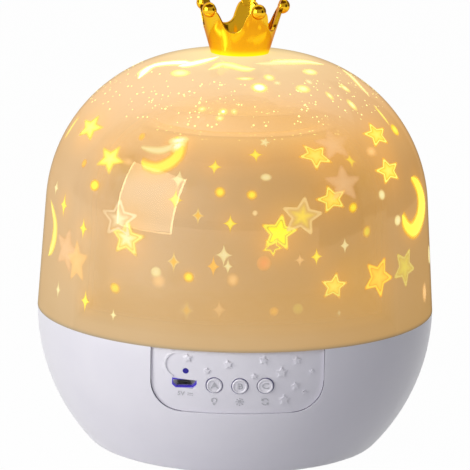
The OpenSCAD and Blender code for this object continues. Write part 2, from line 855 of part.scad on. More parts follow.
module drive_motor() {
    color(steel) translate([motor_xy[0], motor_xy[1], deck_low_z]) rotate(motor_angle) difference() {
        union() {
            translate([0, 0, -gearbox_h]) cylinder(r = gearbox_r, h = gearbox_h, $fn = 64);
            translate([0, 0, -gearbox_h - can_l]) cylinder(r = can_r, h = can_l + over, $fn = 64);
            translate([0, 0, -gearbox_h - can_l - 1.2]) cylinder(r = can_r * 0.45, h = 2, $fn = 36);
            translate([0, 0, -over]) cylinder(r = motor_boss_r, h = deck_t / 2 + over, $fn = 36);
            translate([-motor_ear_r, -motor_ear_d, -motor_ear_t]) {
                cube([2 * motor_ear_r, 2 * motor_ear_d, motor_ear_t]);
            }
            for (side = [-1, 1]) {
                translate([0, side * motor_ear_d, -motor_ear_t]) cylinder(r = motor_ear_r, h = motor_ear_t, $fn = 36);
            }
        }
        translate([0, 0, shaft_low_z - deck_low_z - 0.2]) cylinder(r = shaft_r + running_gap, h = wide, $fn = 36);
        for (side = [-1, 1]) {
            translate([0, side * motor_ear_d, -motor_ear_t - over]) cylinder(r = screw_r, h = motor_ear_t + 2 * over, $fn = 24);
        }
    }
}

module motor_screws() {
    color(steel) translate([motor_xy[0], motor_xy[1], deck_z]) rotate(motor_angle) {
        for (side = [-1, 1]) {
            translate([0, side * motor_ear_d, 0]) screw(motor_screw_l, screw_r, head_r, head_h);
        }
    }
}

module motor_shaft() {
    color("dimgray") translate([motor_xy[0], motor_xy[1], shaft_low_z]) {
        cylinder(r = shaft_r, h = ring_z + pinion_h + 0.3 - shaft_low_z, $fn = 36);
    }
}

// Involute teeth; at radius r each flank lies half_width(r) degrees from the tooth's middle
module gear_outline(teeth) {
    pitch = tooth_module * teeth / 2;
    base = pitch * cos(pressure_angle);
    root = pitch - tooth_root;
    top = pitch + tooth_top;
    low = max(base, root);
    function involute(r) = let (a = acos(min(1, base / r))) tan(a) * 180 / PI - a;
    function half_width(r) = 90 / teeth - backlash / pitch * 90 / PI + involute(pitch) - involute(max(r, base));
    flank = concat([root], [for (k = [0:4]) low + (top - low) * k / 4]);
    last = len(flank) - 1;
    polygon([
        for (i = [0:teeth - 1]) each concat(
            [for (k = [0:last]) let (a = 360 * i / teeth - half_width(flank[k])) flank[k] * [cos(a), sin(a)]],
            [for (k = [0:last]) let (a = 360 * i / teeth + half_width(flank[last - k])) flank[last - k] * [cos(a), sin(a)]]
        )
    ]);
}

module drive_pinion() {
    color("ivory") translate([motor_xy[0], motor_xy[1], ring_z]) rotate(motor_angle + 180 + 180 / pinion_teeth) {
        linear_extrude(pinion_h) difference() {
            gear_outline(pinion_teeth);
            circle(shaft_r + 0.01, $fn = 36);
        }
    }
}

module turntable() {
    groove_in = neck_r + hub_wall;
    groove_out = ring_pitch_r - tooth_root - 2.2;
    lip_r = film_r - film_wall - play;
    color(white) difference() {
        union() {
            translate([0, 0, ring_z]) rotate(motor_angle) linear_extrude(ring_h + disc_t / 2) gear_outline(ring_teeth);
            translate([0, 0, disc_z]) cylinder(r = disc_r, h = disc_t, $fn = 180);
            translate([0, 0, disc_z]) difference() {
                cylinder(r = lip_r, h = disc_t + film_lip_h, $fn = 180);
                translate([0, 0, disc_t]) cylinder(r = lip_r - film_lip_t, h = film_lip_h + over, $fn = 180);
            }
        }
        translate([0, 0, ring_z - over]) cylinder(r = neck_r + running_gap, h = ring_h + disc_t + 2 * over, $fn = 96);
        translate([0, 0, ring_z - over]) difference() {
            cylinder(r = groove_out, h = ring_h + over, $fn = 96);
            cylinder(r = groove_in, h = ring_h + over, $fn = 96);
        }
    }
}

module turntable_clip() {
    color("ivory") translate([0, 0, clip_z + 0.02]) difference() {
        cylinder(r = clip_r, h = clip_t - 0.04, $fn = 96);
        translate([0, 0, -over]) cylinder(r = neck_r - clip_groove + 0.02, h = clip_t + 2 * over, $fn = 96);
        translate([0, -1.5, -over]) cube([wide, 3, clip_t + 2 * over]);
    }
}

// Half the film dome's section, inset below its surface
module film_profile(inset) {
    side = [film_shoulder_x, film_shoulder_z];
    lean = [cos(film_draft), sin(film_draft)];
    intersection() {
        union() {
            polygon([
                [0, film_seat_z], [film_r - inset / cos(film_draft), film_seat_z],
                side + (film_shoulder_r - inset) * lean, side, [0, film_shoulder_z]
            ]);
            translate(side) circle(film_shoulder_r - inset, $fn = 96);
            translate([0, film_seat_z]) square([film_shoulder_x, film_h - inset]);
        }
        translate([0, film_seat_z]) square([wide, film_h]);
    }
}

module film_dome() {
    color(cream, 0.5) rotate_extrude($fn = 180) difference() {
        film_profile(0);
        film_profile(film_wall);
        translate([0, film_seat_z - over]) square([wide, over]);
        translate([0, film_seat_z + film_h / 2]) square([cap_plug_r + seat_gap, film_h]);
        translate([0, film_seat_z - over]) square([film_r / 2, film_h / 2]);
    }
}

module film_cap() {
    color(cream, 0.5) rotate_extrude($fn = 144) difference() {
        union() {
            translate([0, film_top_z + seat_gap]) square([film_cap_r, film_cap_h]);
            translate([0, film_top_z - cap_plug_h]) square([cap_plug_r, cap_plug_h + over]);
        }
        translate([0, film_top_z - cap_plug_h - over]) {
            square([cap_plug_r - cap_wall, cap_plug_h + film_cap_h + over - cap_wall]);
        }
    }
}

module lamp_post() {
    color(white) difference() {
        union() {
            translate([0, 0, deck_z]) cylinder(r = post_flange_r, h = post_flange_t, $fn = 72);
            translate([0, 0, deck_z]) cylinder(r = post_r, h = lamp_h, $fn = 64);
            translate([0, 0, lamp_z - post_seat_t]) cylinder(r = lamp_board_r, h = post_seat_t, $fn = 72);
        }
        translate([0, 0, deck_z - over]) cylinder(r = post_r - post_wall, h = lamp_h + 2 * over, $fn = 64);
        ring_of(3, post_screw_r, 90) {
            translate([0, 0, deck_z - over]) cylinder(r = fine_screw_r + screw_gap, h = post_flange_t + 2 * over, $fn = 24);
        }
        ring_of(2, lamp_screw_r) {
            translate([0, 0, lamp_z - post_seat_t - over]) cylinder(r = fine_screw_r, h = post_seat_t + 2 * over, $fn = 24);
        }
    }
}

module post_screws() {
    color(steel) ring_of(3, post_screw_r, 90) {
        translate([0, 0, deck_z + post_flange_t]) screw(post_screw_l, fine_screw_r, fine_head_r, fine_head_h);
    }
}

module lamp_board() {
    color("white") translate([0, 0, lamp_z]) difference() {
        cylinder(r = lamp_board_r, h = lamp_board_t, $fn = 72);
        ring_of(2, lamp_screw_r) {
            translate([0, 0, -over]) cylinder(r = fine_screw_r + screw_gap, h = lamp_board_t + 2 * over, $fn = 24);
        }
    }
}

module lamp_emitters() {
    color("gold") translate([0, 0, lamp_z + lamp_board_t]) {
        translate([-emitter_w / 2, -emitter_w / 2, 0]) cube([emitter_w, emitter_w, emitter_h]);
        ring_of(4, emitter_ring_r, 45) {
            translate([-emitter_w / 2, -emitter_w / 2, 0]) cube([emitter_w, emitter_w, emitter_h]);
        }
    }
}

module lamp_screws() {
    color(steel) ring_of(2, lamp_screw_r) {
        translate([0, 0, lamp_z + lamp_board_t]) screw(lamp_screw_l, fine_screw_r, fine_head_r, fine_head_h);
    }
}

module lamp_lens() {
    color("lightcyan", 0.5) translate([0, 0, lamp_z + lamp_board_t]) rotate_extrude($fn = 96) intersection() {
        difference() {
            circle(lens_r, $fn = 96);
            circle(lens_r - lens_wall, $fn = 96);
        }
        square(lens_r + over);
    }
}

// Leads: a smooth tube through points chosen by hand, eight-sided
lead_r = 0.9;
lead_sides = 8;
lead_steps = 5;
function unit(v) = v / norm(v);
function blend(a, b, c, d, t) = 0.5 * (2 * b + (c - a) * t + (2 * a - 5 * b + 4 * c - d) * t * t
    + (3 * b - a - 3 * c + d) * t * t * t);
function point_at(p, i) = i < 0 ? 2 * p[0] - p[1] : i >= len(p) ? 2 * p[len(p) - 1] - p[len(p) - 2] : p[i];
function smooth_route(p) = concat(
    [for (i = [0:len(p) - 2], k = [0:lead_steps - 1])
        blend(point_at(p, i - 1), p[i], p[i + 1], point_at(p, i + 2), k / lead_steps)],
    [p[len(p) - 1]]
);

module lead(points) {
    path = smooth_route(points);
    last = len(path) - 1;
    aside = [0.4, 0.5, -0.77];
    rings = [for (i = [0:last]) let (
        along = unit(i == 0 ? points[1] - points[0] : i == last ? points[len(points) - 1] - points[len(points) - 2]
            : path[i + 1] - path[i - 1]),
        side = unit(cross(along, aside)),
        up = cross(side, along)
    ) for (k = [0:lead_sides - 1]) path[i] + lead_r * (cos(360 * k / lead_sides) * side + sin(360 * k / lead_sides) * up)];
    faces = concat(
        [[for (k = [0:lead_sides - 1]) k]],
        [[for (k = [lead_sides - 1:-1:0]) last * lead_sides + k]],
        [for (i = [0:last - 1], k = [0:lead_sides - 1], half = [0, 1]) let (
            a = i * lead_sides + k,
            b = i * lead_sides + (k + 1) % lead_sides
        ) half == 0 ? [a, a + lead_sides, b] : [b, a + lead_sides, b + lead_sides]]
    );
    polyhedron(rings, faces);
}

// A point behind the control board, in the object's own frame
function behind_board(x, y, z) = [
    x,
    -panel_frame_r - y * sin(panel_tilt) - z * cos(panel_tilt),
    panel_frame_z + y * cos(panel_tilt) - z * sin(panel_tilt)
];
lead_start_z = board_back_z - socket_depth;
lead_straight = 3;
lead_bend = 2.5;
// A point inside the base, in parts of the body's radius and of the seam's height
function in_base(x, y, z) = [x * body_r, y * body_r, z * seam_z];

module battery_leads() {
    end_x = -battery_l / 2;
    end_z = cover_top_z + battery_h * 0.75;
    color("red") lead([
        behind_board(battery_socket_x, lead_socket_y, lead_start_z),
        behind_board(battery_socket_x, lead_socket_y, lead_start_z - lead_straight),
        in_base(-0.286, -0.571, 0.557), in_base(-0.414, -0.343, 0.392), in_base(-0.429, -0.114, 0.258),
        [end_x - 2.2 * lead_bend, 0, cover_top_z + rib_h + lead_bend],
        [end_x - 0.8 * lead_bend, battery_y, end_z], [end_x, battery_y, end_z]
    ]);
}

module motor_leads() {
    low_z = deck_low_z - gearbox_h - can_l - 1.2;
    color("gold") lead([
        behind_board(motor_socket_x, lead_socket_y, lead_start_z),
        behind_board(motor_socket_x, lead_socket_y, lead_start_z - lead_straight),
        in_base(-0.057, -0.486, 0.536), in_base(-0.2, -0.2, 0.371), in_base(-0.329, 0.114, 0.299),
        [motor_xy[0], motor_xy[1], low_z] - lead_bend * [0.4, 2.8, 1.6],
        [motor_xy[0], motor_xy[1], low_z - lead_bend], [motor_xy[0], motor_xy[1], low_z]
    ]);
}

module lamp_leads() {
    color("white") lead([
        behind_board(lamp_socket_x, lead_socket_y, lead_start_z),
        behind_board(lamp_socket_x, lead_socket_y, lead_start_z - lead_straight),
        in_base(0.157, -0.543, 0.557), in_base(0.129, -0.314, 0.536), in_base(0.057, -0.114, 0.619),
        in_base(0, 0, 0.784), [0, 0, deck_z], [0, 0, lamp_z - 2 * lead_bend], [0, 0, lamp_z]
    ]);
}

// Half the outer dome's section, inset below its surface
module dome_profile(inset) {
    shoulder = [shoulder_x, shoulder_z];
    lean = [cos(dome_draft), sin(dome_draft)];
    intersection() {
        union() {
            polygon([
                [0, seam_z], [body_r - inset / cos(dome_draft), seam_z],
                shoulder + (shoulder_r - inset) * lean, shoulder, [0, shoulder_z]
            ]);
            translate(shoulder) circle(shoulder_r - inset, $fn = 180);
            intersection() {
                translate([0, cap_z]) circle(cap_r - inset, $fn = 360);
                polygon([[0, cap_z], [0, cap_z + 2 * cap_r], [2 * cap_r * sin(cap_angle), cap_z + 2 * cap_r * cos(cap_angle)]]);
            }
        }
        translate([0, seam_z]) square([wide, wide]);
    }
}

module sector(half_angle) {
    reach = 2 * body_r;
    polygon([[0, 0], reach * [cos(half_angle), -sin(half_angle)], reach * [cos(half_angle), sin(half_angle)]]);
}

module dome_cover() {
    color(cream, 0.6) difference() {
        union() {
            rotate_extrude($fn = 180) difference() {
                dome_profile(0);
                dome_profile(dome_wall);
            }
            translate([0, 0, crown_pad_z]) intersection() {
                cylinder(r = crown_pad_r, h = wide, $fn = 48);
                translate([0, 0, -crown_pad_z]) rotate_extrude($fn = 180) dome_profile(dome_wall / 2);
            }
            for (a = lug_angles) {
                intersection() {
                    rotate_extrude($fn = 180) {
                        translate([lug_inner_r, seam_z - lug_drop]) square([lug_outer_r - lug_inner_r, lug_drop + lug_web]);
                        intersection() {
                            translate([lug_inner_r, seam_z]) square([body_r, lug_web]);
                            dome_profile(dome_wall / 2);
                        }
                    }
                    rotate(a) translate([0, 0, seam_z - 2 * lug_drop]) linear_extrude(4 * lug_drop) sector(lug_angle / 2);
                }
            }
        }
        translate([0, 0, crown_pad_z - over]) cylinder(r = fine_screw_r + screw_gap, h = wide, $fn = 24);
    }
}

// The crown's cone, inset below its surface, from its foot up
module crown_cone(inset, low, high) {
    polygon([
        [0, low], [crown_r + crown_flare * low - inset, low],
        [crown_r + crown_flare * high - inset, high], [0, high]
    ]);
}

module crown() {
    ball_ring_r = crown_r + crown_flare * ball_z - crown_wall / 4;
    step = 360 / crown_points;
    side_slope = 0.44;
    color(gold) difference() {
        union() {
            translate([0, 0, crown_z]) difference() {
                rotate_extrude($fn = 96) difference() {
                    crown_cone(0, -over, crown_h);
                    crown_cone(crown_wall, crown_floor, crown_h + over);
                }
                for (i = [0:crown_points - 1]) {
                    rotate(-90 + crown_turn + step * (i + 0.5)) rotate([90, 0, 90]) {
                        linear_extrude(wide) {
                            translate([0, valley_h + valley_r]) circle(valley_r, $fn = 48);
                            translate([0, valley_h + valley_r]) polygon([
                                [-valley_r * 0.92, -valley_r * 0.4], [valley_r * 0.92, -valley_r * 0.4],
                                [valley_r * 0.92 + side_slope * crown_h, crown_h - valley_r * 0.4],
                                [-valley_r * 0.92 - side_slope * crown_h, crown_h - valley_r * 0.4]
                            ]);
                        }
                    }
                }
            }
            translate([0, 0, crown_z]) cylinder(r = crown_boss_r, h = crown_boss_h, $fn = 36);
            translate([0, 0, crown_z]) difference() {
                ring_of(crown_points, ball_ring_r, -90 + crown_turn) {
                    translate([0, 0, ball_z]) sphere(ball_r, $fn = 40);
                }
                rotate_extrude($fn = 96) crown_cone(crown_wall, crown_floor, 2 * crown_h);
            }
        }
        translate([0, 0, cap_z]) sphere(cap_r + seat_gap, $fn = 360);
        translate([0, 0, crown_z - 2 * over]) cylinder(r = fine_screw_r, h = crown_boss_h + over, $fn = 24);
    }
}

module crown_washer() {
    color(steel) translate([0, 0, crown_pad_z - washer_t]) difference() {
        cylinder(r = washer_r, h = washer_t, $fn = 48);
        translate([0, 0, -over]) cylinder(r = fine_screw_r + screw_gap, h = washer_t + 2 * over, $fn = 24);
    }
}

module crown_screw() {
    color(steel) translate([0, 0, crown_pad_z - washer_t]) rotate([180, 0, 0]) {
        screw(crown_screw_l, fine_screw_r, fine_head_r, fine_head_h);
    }
}

base_shell();
bottom_cover();
cover_screws_set();
foot_pads();
control_panel();
light_pipe();
usb_socket();
usb_tongue();
control_board();
tact_switches();
status_led();
board_chips();
lead_sockets();
board_screws();
button_a();
button_b();
button_c();
plunger_a();
plunger_b();
plunger_c();
battery_pack();
battery_strap();
strap_screws();
top_deck();
deck_screws();
drive_motor();
motor_screws();
motor_shaft();
drive_pinion();
turntable();
turntable_clip();
film_dome();
film_cap();
lamp_post();
post_screws();
lamp_board();
lamp_emitters();
lamp_screws();
lamp_lens();
battery_leads();
motor_leads();
lamp_leads();
dome_cover();
crown();
crown_washer();
crown_screw();
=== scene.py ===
import bisect
import math
from contextlib import contextmanager

import bmesh
import bpy
import numpy as np
from mathutils import Matrix, Vector


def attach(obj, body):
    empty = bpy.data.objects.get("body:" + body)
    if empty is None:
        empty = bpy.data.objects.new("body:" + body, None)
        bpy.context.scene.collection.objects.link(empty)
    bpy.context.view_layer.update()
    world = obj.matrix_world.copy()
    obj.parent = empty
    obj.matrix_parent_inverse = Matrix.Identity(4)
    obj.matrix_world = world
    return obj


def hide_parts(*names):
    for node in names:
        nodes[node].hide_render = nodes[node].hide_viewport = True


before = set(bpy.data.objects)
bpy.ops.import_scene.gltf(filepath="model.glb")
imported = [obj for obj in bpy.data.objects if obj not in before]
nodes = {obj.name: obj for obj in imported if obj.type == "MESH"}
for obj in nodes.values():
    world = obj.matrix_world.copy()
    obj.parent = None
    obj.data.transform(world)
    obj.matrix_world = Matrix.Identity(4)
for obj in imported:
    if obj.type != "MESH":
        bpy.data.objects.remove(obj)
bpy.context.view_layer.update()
print("frame loaded,", len(nodes), "nodes")

mm = 0.001
tiny = 1e-6
scene = bpy.context.scene
scene.view_settings.view_transform = "Standard"


def addObject(name, data):
    obj = bpy.data.objects.new(name, data)
    scene.collection.objects.link(obj)
    return obj


def direction(turn, rise):
    # from the middle outwards, at a turn from the front and a rise above the horizon
    return Vector((math.sin(turn) * math.cos(rise), -math.cos(turn) * math.cos(rise), math.sin(rise)))


def around(radius, turn, z):
    # a place on a ring, at a turn from the front
    return (radius * math.sin(turn), -radius * math.cos(turn), z)


cameraSetup = {
    "distance": 1.2,
    "turn": -1.13,         # degrees round the object, 0 is straight in front
    "height": 12.39,       # degrees above the horizon
    "tilt": 1.07,          # degrees about the line of sight
    "aimHeight": 0.07356,
    "aimAside": -0.00046,
    "lens": 259.8,
    "sensor": 36,
    "clip": (0.05, 20),
}


def makeCamera():
    turn, height, tilt = (math.radians(cameraSetup[k]) for k in ("turn", "height", "tilt"))
    back = direction(turn, height)
    side = Vector((math.cos(turn), math.sin(turn), 0))
    up = back.cross(side)
    right = side * math.cos(tilt) + up * math.sin(tilt)
    top = up * math.cos(tilt) - side * math.sin(tilt)
    place = Vector((0, 0, cameraSetup["aimHeight"])) + side * cameraSetup["aimAside"]
    place += back * cameraSetup["distance"]
    data = bpy.data.cameras.new("camera")
    data.lens = cameraSetup["lens"]
    data.sensor_width = cameraSetup["sensor"]
    data.clip_start, data.clip_end = cameraSetup["clip"]
    camera = addObject("camera", data)
    camera.matrix_world = Matrix([(right[i], top[i], back[i], place[i]) for i in range(3)] + [(0, 0, 0, 1)])
    scene.camera = camera


makeCamera()
print("camera placed")


@contextmanager
def editing(mesh):
    work = bmesh.new()
    work.from_mesh(mesh)
    yield work
    work.to_mesh(mesh)
    work.free()


def smoothShade(mesh, angle):
    mesh.polygons.foreach_set("use_smooth", [True] * len(mesh.polygons))
    mesh.set_sharp_from_angle(angle=math.radians(angle))
    mesh.update()


def meshFrom(name, points, faces, smoothAngle=40):
    mesh = bpy.data.meshes.new(name)
    mesh.from_pydata([tuple(p) for p in points], [], faces)
    mesh.validate()
    smoothShade(mesh, smoothAngle)
    return addObject(name, mesh)


def gridFaces(rows, count, start=0, closedRows=False, closedRing=True):
    # quads over rows of count points each, stored one row after another
    faces = []
    for i in range(rows if closedRows else rows - 1):
        a, b = start + i * count, start + (i + 1) % rows * count
        for k in range(count if closedRing else count - 1):
            m = (k + 1) % count
            faces.append((a + k, a + m, b + m, b + k))
    return faces


def plainMesh(obj):
    graph = bpy.context.evaluated_depsgraph_get()
    graph.update()
    return bpy.data.meshes.new_from_object(obj.evaluated_get(graph))


def baked(obj):
    # the evaluated object becomes a plain mesh and its modifiers go
    mesh = plainMesh(obj)
    obj.modifiers.clear()
    obj.data = mesh


def outward(mesh):
    with editing(mesh) as work:
        bmesh.ops.remove_doubles(work, verts=work.verts, dist=1e-7)
        bmesh.ops.recalc_face_normals(work, faces=work.faces)
    mesh.update()


copySetup = {"merge": 2e-6, "flat": 0.6, "sharp": 32, "smooth": 35}


def smoothCopy(node, name, edge, segments):
    # a merged copy of a CAD node with its sharp edges rounded
    mesh = nodes[node].data.copy()
    mesh.name = name
    mesh.materials.clear()
    with editing(mesh) as work:
        bmesh.ops.remove_doubles(work, verts=work.verts, dist=copySetup["merge"])
        bmesh.ops.dissolve_limit(work, angle_limit=math.radians(copySetup["flat"]), verts=work.verts,
                                 edges=work.edges)
    for layer in list(mesh.attributes):
        if layer.name.startswith("custom") or layer.name == "sharp_face":
            mesh.attributes.remove(layer)
    obj = addObject(name, mesh)
    bevel = obj.modifiers.new("edges", "BEVEL")
    bevel.width = edge
    bevel.segments = segments
    bevel.limit_method = "ANGLE"
    bevel.angle_limit = math.radians(copySetup["sharp"])
    bevel.harden_normals = False
    bevel.miter_outer = "MITER_ARC"
    baked(obj)
    smoothShade(obj.data, copySetup["smooth"])
    return obj


# outlines of the round bodies: (radius, height) points from the lower end up
def arcPoints(centre, radius, start, end, step):
    count = max(2, int(abs(end - start) * radius / step))
    angles = [start + (end - start) * i / count for i in range(count + 1)]
    return [(centre[0] + radius * math.cos(a), centre[1] + radius * math.sin(a)) for a in angles]


def linePoints(a, b, step):
    count = max(1, int(math.dist(a, b) / step))
    return [(a[0] + (b[0] - a[0]) * i / count, a[1] + (b[1] - a[1]) * i / count) for i in range(count)]


def sideAndShoulder(foot, lean, shoulderAt, radius, end, step):
    # a leaning side, from the foot to where the shoulder's arc takes over
    start = (shoulderAt[0] + radius * math.cos(lean), shoulderAt[1] + radius * math.sin(lean))
    return linePoints(foot, start, step) + arcPoints(shoulderAt, radius, lean, end, step)


domeShape = {
    "foot": 0.070, "seam": 0.0485, "side": 0.039, "lean": 4, "shoulder": 0.055, "top": 0.150,
    "wall": 0.002, "screwHole": 0.001,
}


def domeOutline(inset, step=1.5 * mm):
    footR, seam, side, shoulder, top = (domeShape[k] for k in ("foot", "seam", "side", "shoulder", "top"))
    lean = math.radians(domeShape["lean"])
    sideTop = footR - side * math.tan(lean)
    shoulderAt = (sideTop - shoulder * math.cos(lean), seam + side - shoulder * math.sin(lean))
    reach = top - shoulder
    topAt = (0, shoulderAt[1] - math.sqrt(reach ** 2 - shoulderAt[0] ** 2))
    meet = math.pi / 2 - math.asin(shoulderAt[0] / reach)
    topRadius = top - inset
    end = math.acos(domeShape["screwHole"] / topRadius)
    foot = (footR - inset / math.cos(lean), seam)
    return (
        sideAndShoulder(foot, lean, shoulderAt, shoulder - inset, meet, step)[:-1]
        + arcPoints(topAt, topRadius, meet, end, step)
    )


filmShape = {
    "foot": 0.0595, "seat": 0.05195, "height": 0.064, "shoulder": 0.022, "lean": 1.6, "wall": 0.001,
    "capHole": 0.02987,
}


def filmOutline(inset, step=1.5 * mm):
    footR, seat, shoulder = (filmShape[k] for k in ("foot", "seat", "shoulder"))
    lean = math.radians(filmShape["lean"])
    top = seat + filmShape["height"]
    centreZ = top - shoulder
    sideTopZ = centreZ + shoulder * math.sin(lean)
    sideTopX = footR - (sideTopZ - seat) * math.tan(lean)
    shoulderAt = (sideTopX - shoulder * math.cos(lean), centreZ)
    foot = (footR - inset / math.cos(lean), seat)
    return (
        sideAndShoulder(foot, lean, shoulderAt, shoulder - inset, math.pi / 2, step)
        + [(filmShape["capHole"], top - inset)]
    )


def measured(points):
    lengths = [0.0]
    for a, b in zip(points, points[1:]):
        lengths.append(lengths[-1] + math.dist(a, b))
    return {"points": points, "lengths": lengths, "heights": [p[1] for p in points]}


def stretchOf(values, value):
    # which stretch of an outline a length or a height falls in
    return min(max(bisect.bisect_right(values, value) - 1, 0), len(values) - 2)


def lengthAt(line, height):
    i = stretchOf(line["heights"], height)
    low, high = line["heights"][i], line["heights"][i + 1]
    share = 0 if high <= low else (height - low) / (high - low)
    return line["lengths"][i] + share * (line["lengths"][i + 1] - line["lengths"][i])


def onSurface(line, turn, height, across, along, lift):
    # across runs round the body and along runs up its outline, from a place given by turn and height
    length = lengthAt(line, height) + along
    i = stretchOf(line["lengths"], length)
    a, b = line["points"][i], line["points"][i + 1]
    step = line["lengths"][i + 1] - line["lengths"][i]
    share = (length - line["lengths"][i]) / step
    out = ((b[1] - a[1]) / step, -(b[0] - a[0]) / step)
    r, z = a[0] + (b[0] - a[0]) * share, a[1] + (b[1] - a[1]) * share
    angle = math.radians(turn) + across / max(r, 2 * mm)
    return Vector(around(r + out[0] * lift, angle, z + out[1] * lift))


def lathe(name, profile, columns, smoothAngle, closed=True):
    points = [around(r, 2 * math.pi * k / columns, z) for r, z in profile for k in range(columns)]
    return meshFrom(name, points, gridFaces(len(profile), columns, closedRows=closed), smoothAngle)


def tint(r, g, b):
    # a colour as it shows on the screen, turned linear
    linear = (c / 255 / 12.92 if c <= 10 else ((c / 255 + 0.055) / 1.055) ** 2.4 for c in (r, g, b))
    return (*linear, 1.0)


class Graph:
    # a node tree that is built step by step; an input takes a value or another node's output
    def __init__(self, tree):
        self.tree = tree

    def feed(self, node, inputs):
        for key, value in inputs.items():
            if isinstance(value, bpy.types.NodeSocket):
                self.tree.links.new(value, node.inputs[key])
            else:
                node.inputs[key].default_value = value

    def add(self, kind, inputs=None, **settings):
        node = self.tree.nodes.new(kind)
        for key, value in settings.items():
            setattr(node, key, value)
        self.feed(node, inputs or {})
        return node

    def maths(self, operation, a, b):
        return self.add("ShaderNodeMath", {0: a, 1: b}, operation=operation).outputs[0]

    def mixed(self, share, first, second):
        return self.add("ShaderNodeMixShader", {"Fac": share, 1: first.outputs[0], 2: second.outputs[0]})


class Finish(Graph):
    def __init__(self, name):
        self.material = bpy.data.materials.new(name)
        self.material.use_nodes = True
        super().__init__(self.material.node_tree)
        self.shader = self.tree.nodes["Principled BSDF"]
        self.output = self.tree.nodes["Material Output"]
        self.place = self.add("ShaderNodeTexCoord").outputs["Object"]

    def shade(self, inputs):
        self.feed(self.shader, inputs)

    def noise(self, scale, detail=3.0, roughness=0.5, stretch=None):
        place = self.place
        if stretch:
            place = self.add("ShaderNodeMapping", {"Scale": stretch, "Vector": place}).outputs["Vector"]
        values = {"Scale": scale, "Detail": detail, "Roughness": roughness, "Vector": place}
        return self.add("ShaderNodeTexNoise", values).outputs["Fac"]

    def twoTone(self, source, first, second, at=(0.3, 0.7)):
        node = self.add("ShaderNodeValToRGB", {"Fac": source})
        for element, position, colour in zip(node.color_ramp.elements, at, (first, second)):
            element.position = position
            element.color = (*colour[:3], 1)
        return node.outputs["Color"]

    def spread(self, source, low, high, fromLow=0.3, fromHigh=0.7):
        values = {"Value": source, "From Min": fromLow, "From Max": fromHigh, "To Min": low, "To Max": high}
        return self.add("ShaderNodeMapRange", values).outputs["Result"]

    def uneven(self, source, roughness, less, more):
        return self.spread(source, roughness * less, roughness * more)

    def bump(self, source, strength, depth):
        values = {"Strength": strength, "Distance": depth, "Height": source}
        normal = self.add("ShaderNodeBump", values).outputs["Normal"]
        self.shade({"Normal": normal})
        return normal

    def glow(self):
        # the light that a mesh carries as a colour attribute
        return self.add("ShaderNodeAttribute", attribute_name="glow")


def moulded(name, colour, other, roughness=0.4, grain=900, depth=0.00003, strength=0.25, cloudScale=60,
            gloss=(0.88, 1.12), more=None):
    # moulded plastic and similar: two close tones, a fine grain and uneven gloss
    finish = Finish(name)
    cloud = finish.noise(cloudScale)
    finish.shade({
        "Base Color": finish.twoTone(cloud, colour, other),
        "Roughness": finish.uneven(cloud, roughness, *gloss), **(more or {}),
    })
    finish.bump(finish.noise(grain, detail=2), strength, depth)
    return finish.material


def brushed(name, colour, other, roughness):
    finish = Finish(name)
    streak = finish.noise(300, roughness=0.6, stretch=(1, 1, 40))
    finish.shade({
        "Metallic": 1.0, "Base Color": finish.twoTone(streak, colour, other),
        "Roughness": finish.uneven(streak, roughness, 0.75, 1.3),
    })
    finish.bump(streak, strength=0.15, depth=0.00002)
    return finish.material


def glowing(name, glow, body, roughness, seeThrough=False):
    # lit pieces take their light from the mesh, over a pale body
    finish = Finish(name)
    light = finish.glow()
    grain = finish.noise(1400, detail=2)
    finish.shade({
        "Roughness": roughness, "Emission Strength": glow, "Emission Color": light.outputs["Color"],
        "Base Color": finish.twoTone(grain, [c * 0.92 for c in body], body),
    })
    if seeThrough:
        finish.shade({"Alpha": light.outputs["Alpha"]})
    finish.bump(grain, strength=0.1, depth=0.00002)
    return finish.material


# deep: the painted shade colour that the crown's edges turn to where they are seen edge on
goldFinish = {
    "colour": (0.95, 0.56, 0.016), "other": (0.90, 0.50, 0.012), "deep": (0.42, 0.17, 0.004, 1),
    "edge": (0.80, 0.42, 0.05, 1), "roughness": 0.11,
}


def makeCrownGold():
    # gilt under a clear lacquer; its colour darkens to a painted shade towards the edges as seen, and its
    # foot carries painted light from below
    finish = Finish("crownGold")
    cloud = finish.noise(120)
    facing = finish.add("ShaderNodeLayerWeight", {"Blend": 0.3}).outputs["Facing"]
    # painted shade: the gilt turns to the deep colour where its surface is seen edge on
    mix = finish.add("ShaderNodeMix", {
        "A": finish.twoTone(cloud, goldFinish["colour"], goldFinish["other"], at=(0.3, 0.75)),
        "B": goldFinish["deep"], "Factor": finish.spread(facing, 0, 0.9, fromLow=0.35, fromHigh=0.9),
    }, data_type="RGBA")
    finish.shade({
        "Metallic": 1.0, "Emission Strength": 1.0, "Coat Weight": 0.2, "Coat Roughness": 0.04,
        "Specular Tint": goldFinish["edge"], "Base Color": mix.outputs["Result"],
        "Emission Color": finish.glow().outputs["Color"],
        "Roughness": finish.uneven(cloud, goldFinish["roughness"], 0.8, 1.25),
    })
    finish.bump(finish.noise(700, detail=2), strength=0.05, depth=0.00003)
    return finish.material


# rim: where the painted shade at the rim starts, and the share of the glow left at the very edge
domeFinish = {
    "colour": (0.28, 0.27, 0.22), "paler": (0.30, 0.29, 0.24), "clear": (0.24, 0.12), "edge": (0.44, 0.97),
    "roughness": 0.2, "gloss": (0.042, 0.06), "glossColour": (1.0, 0.78, 0.5, 1), "glossRoughness": 0.025,
    "rim": (0.84, 0.56),
}


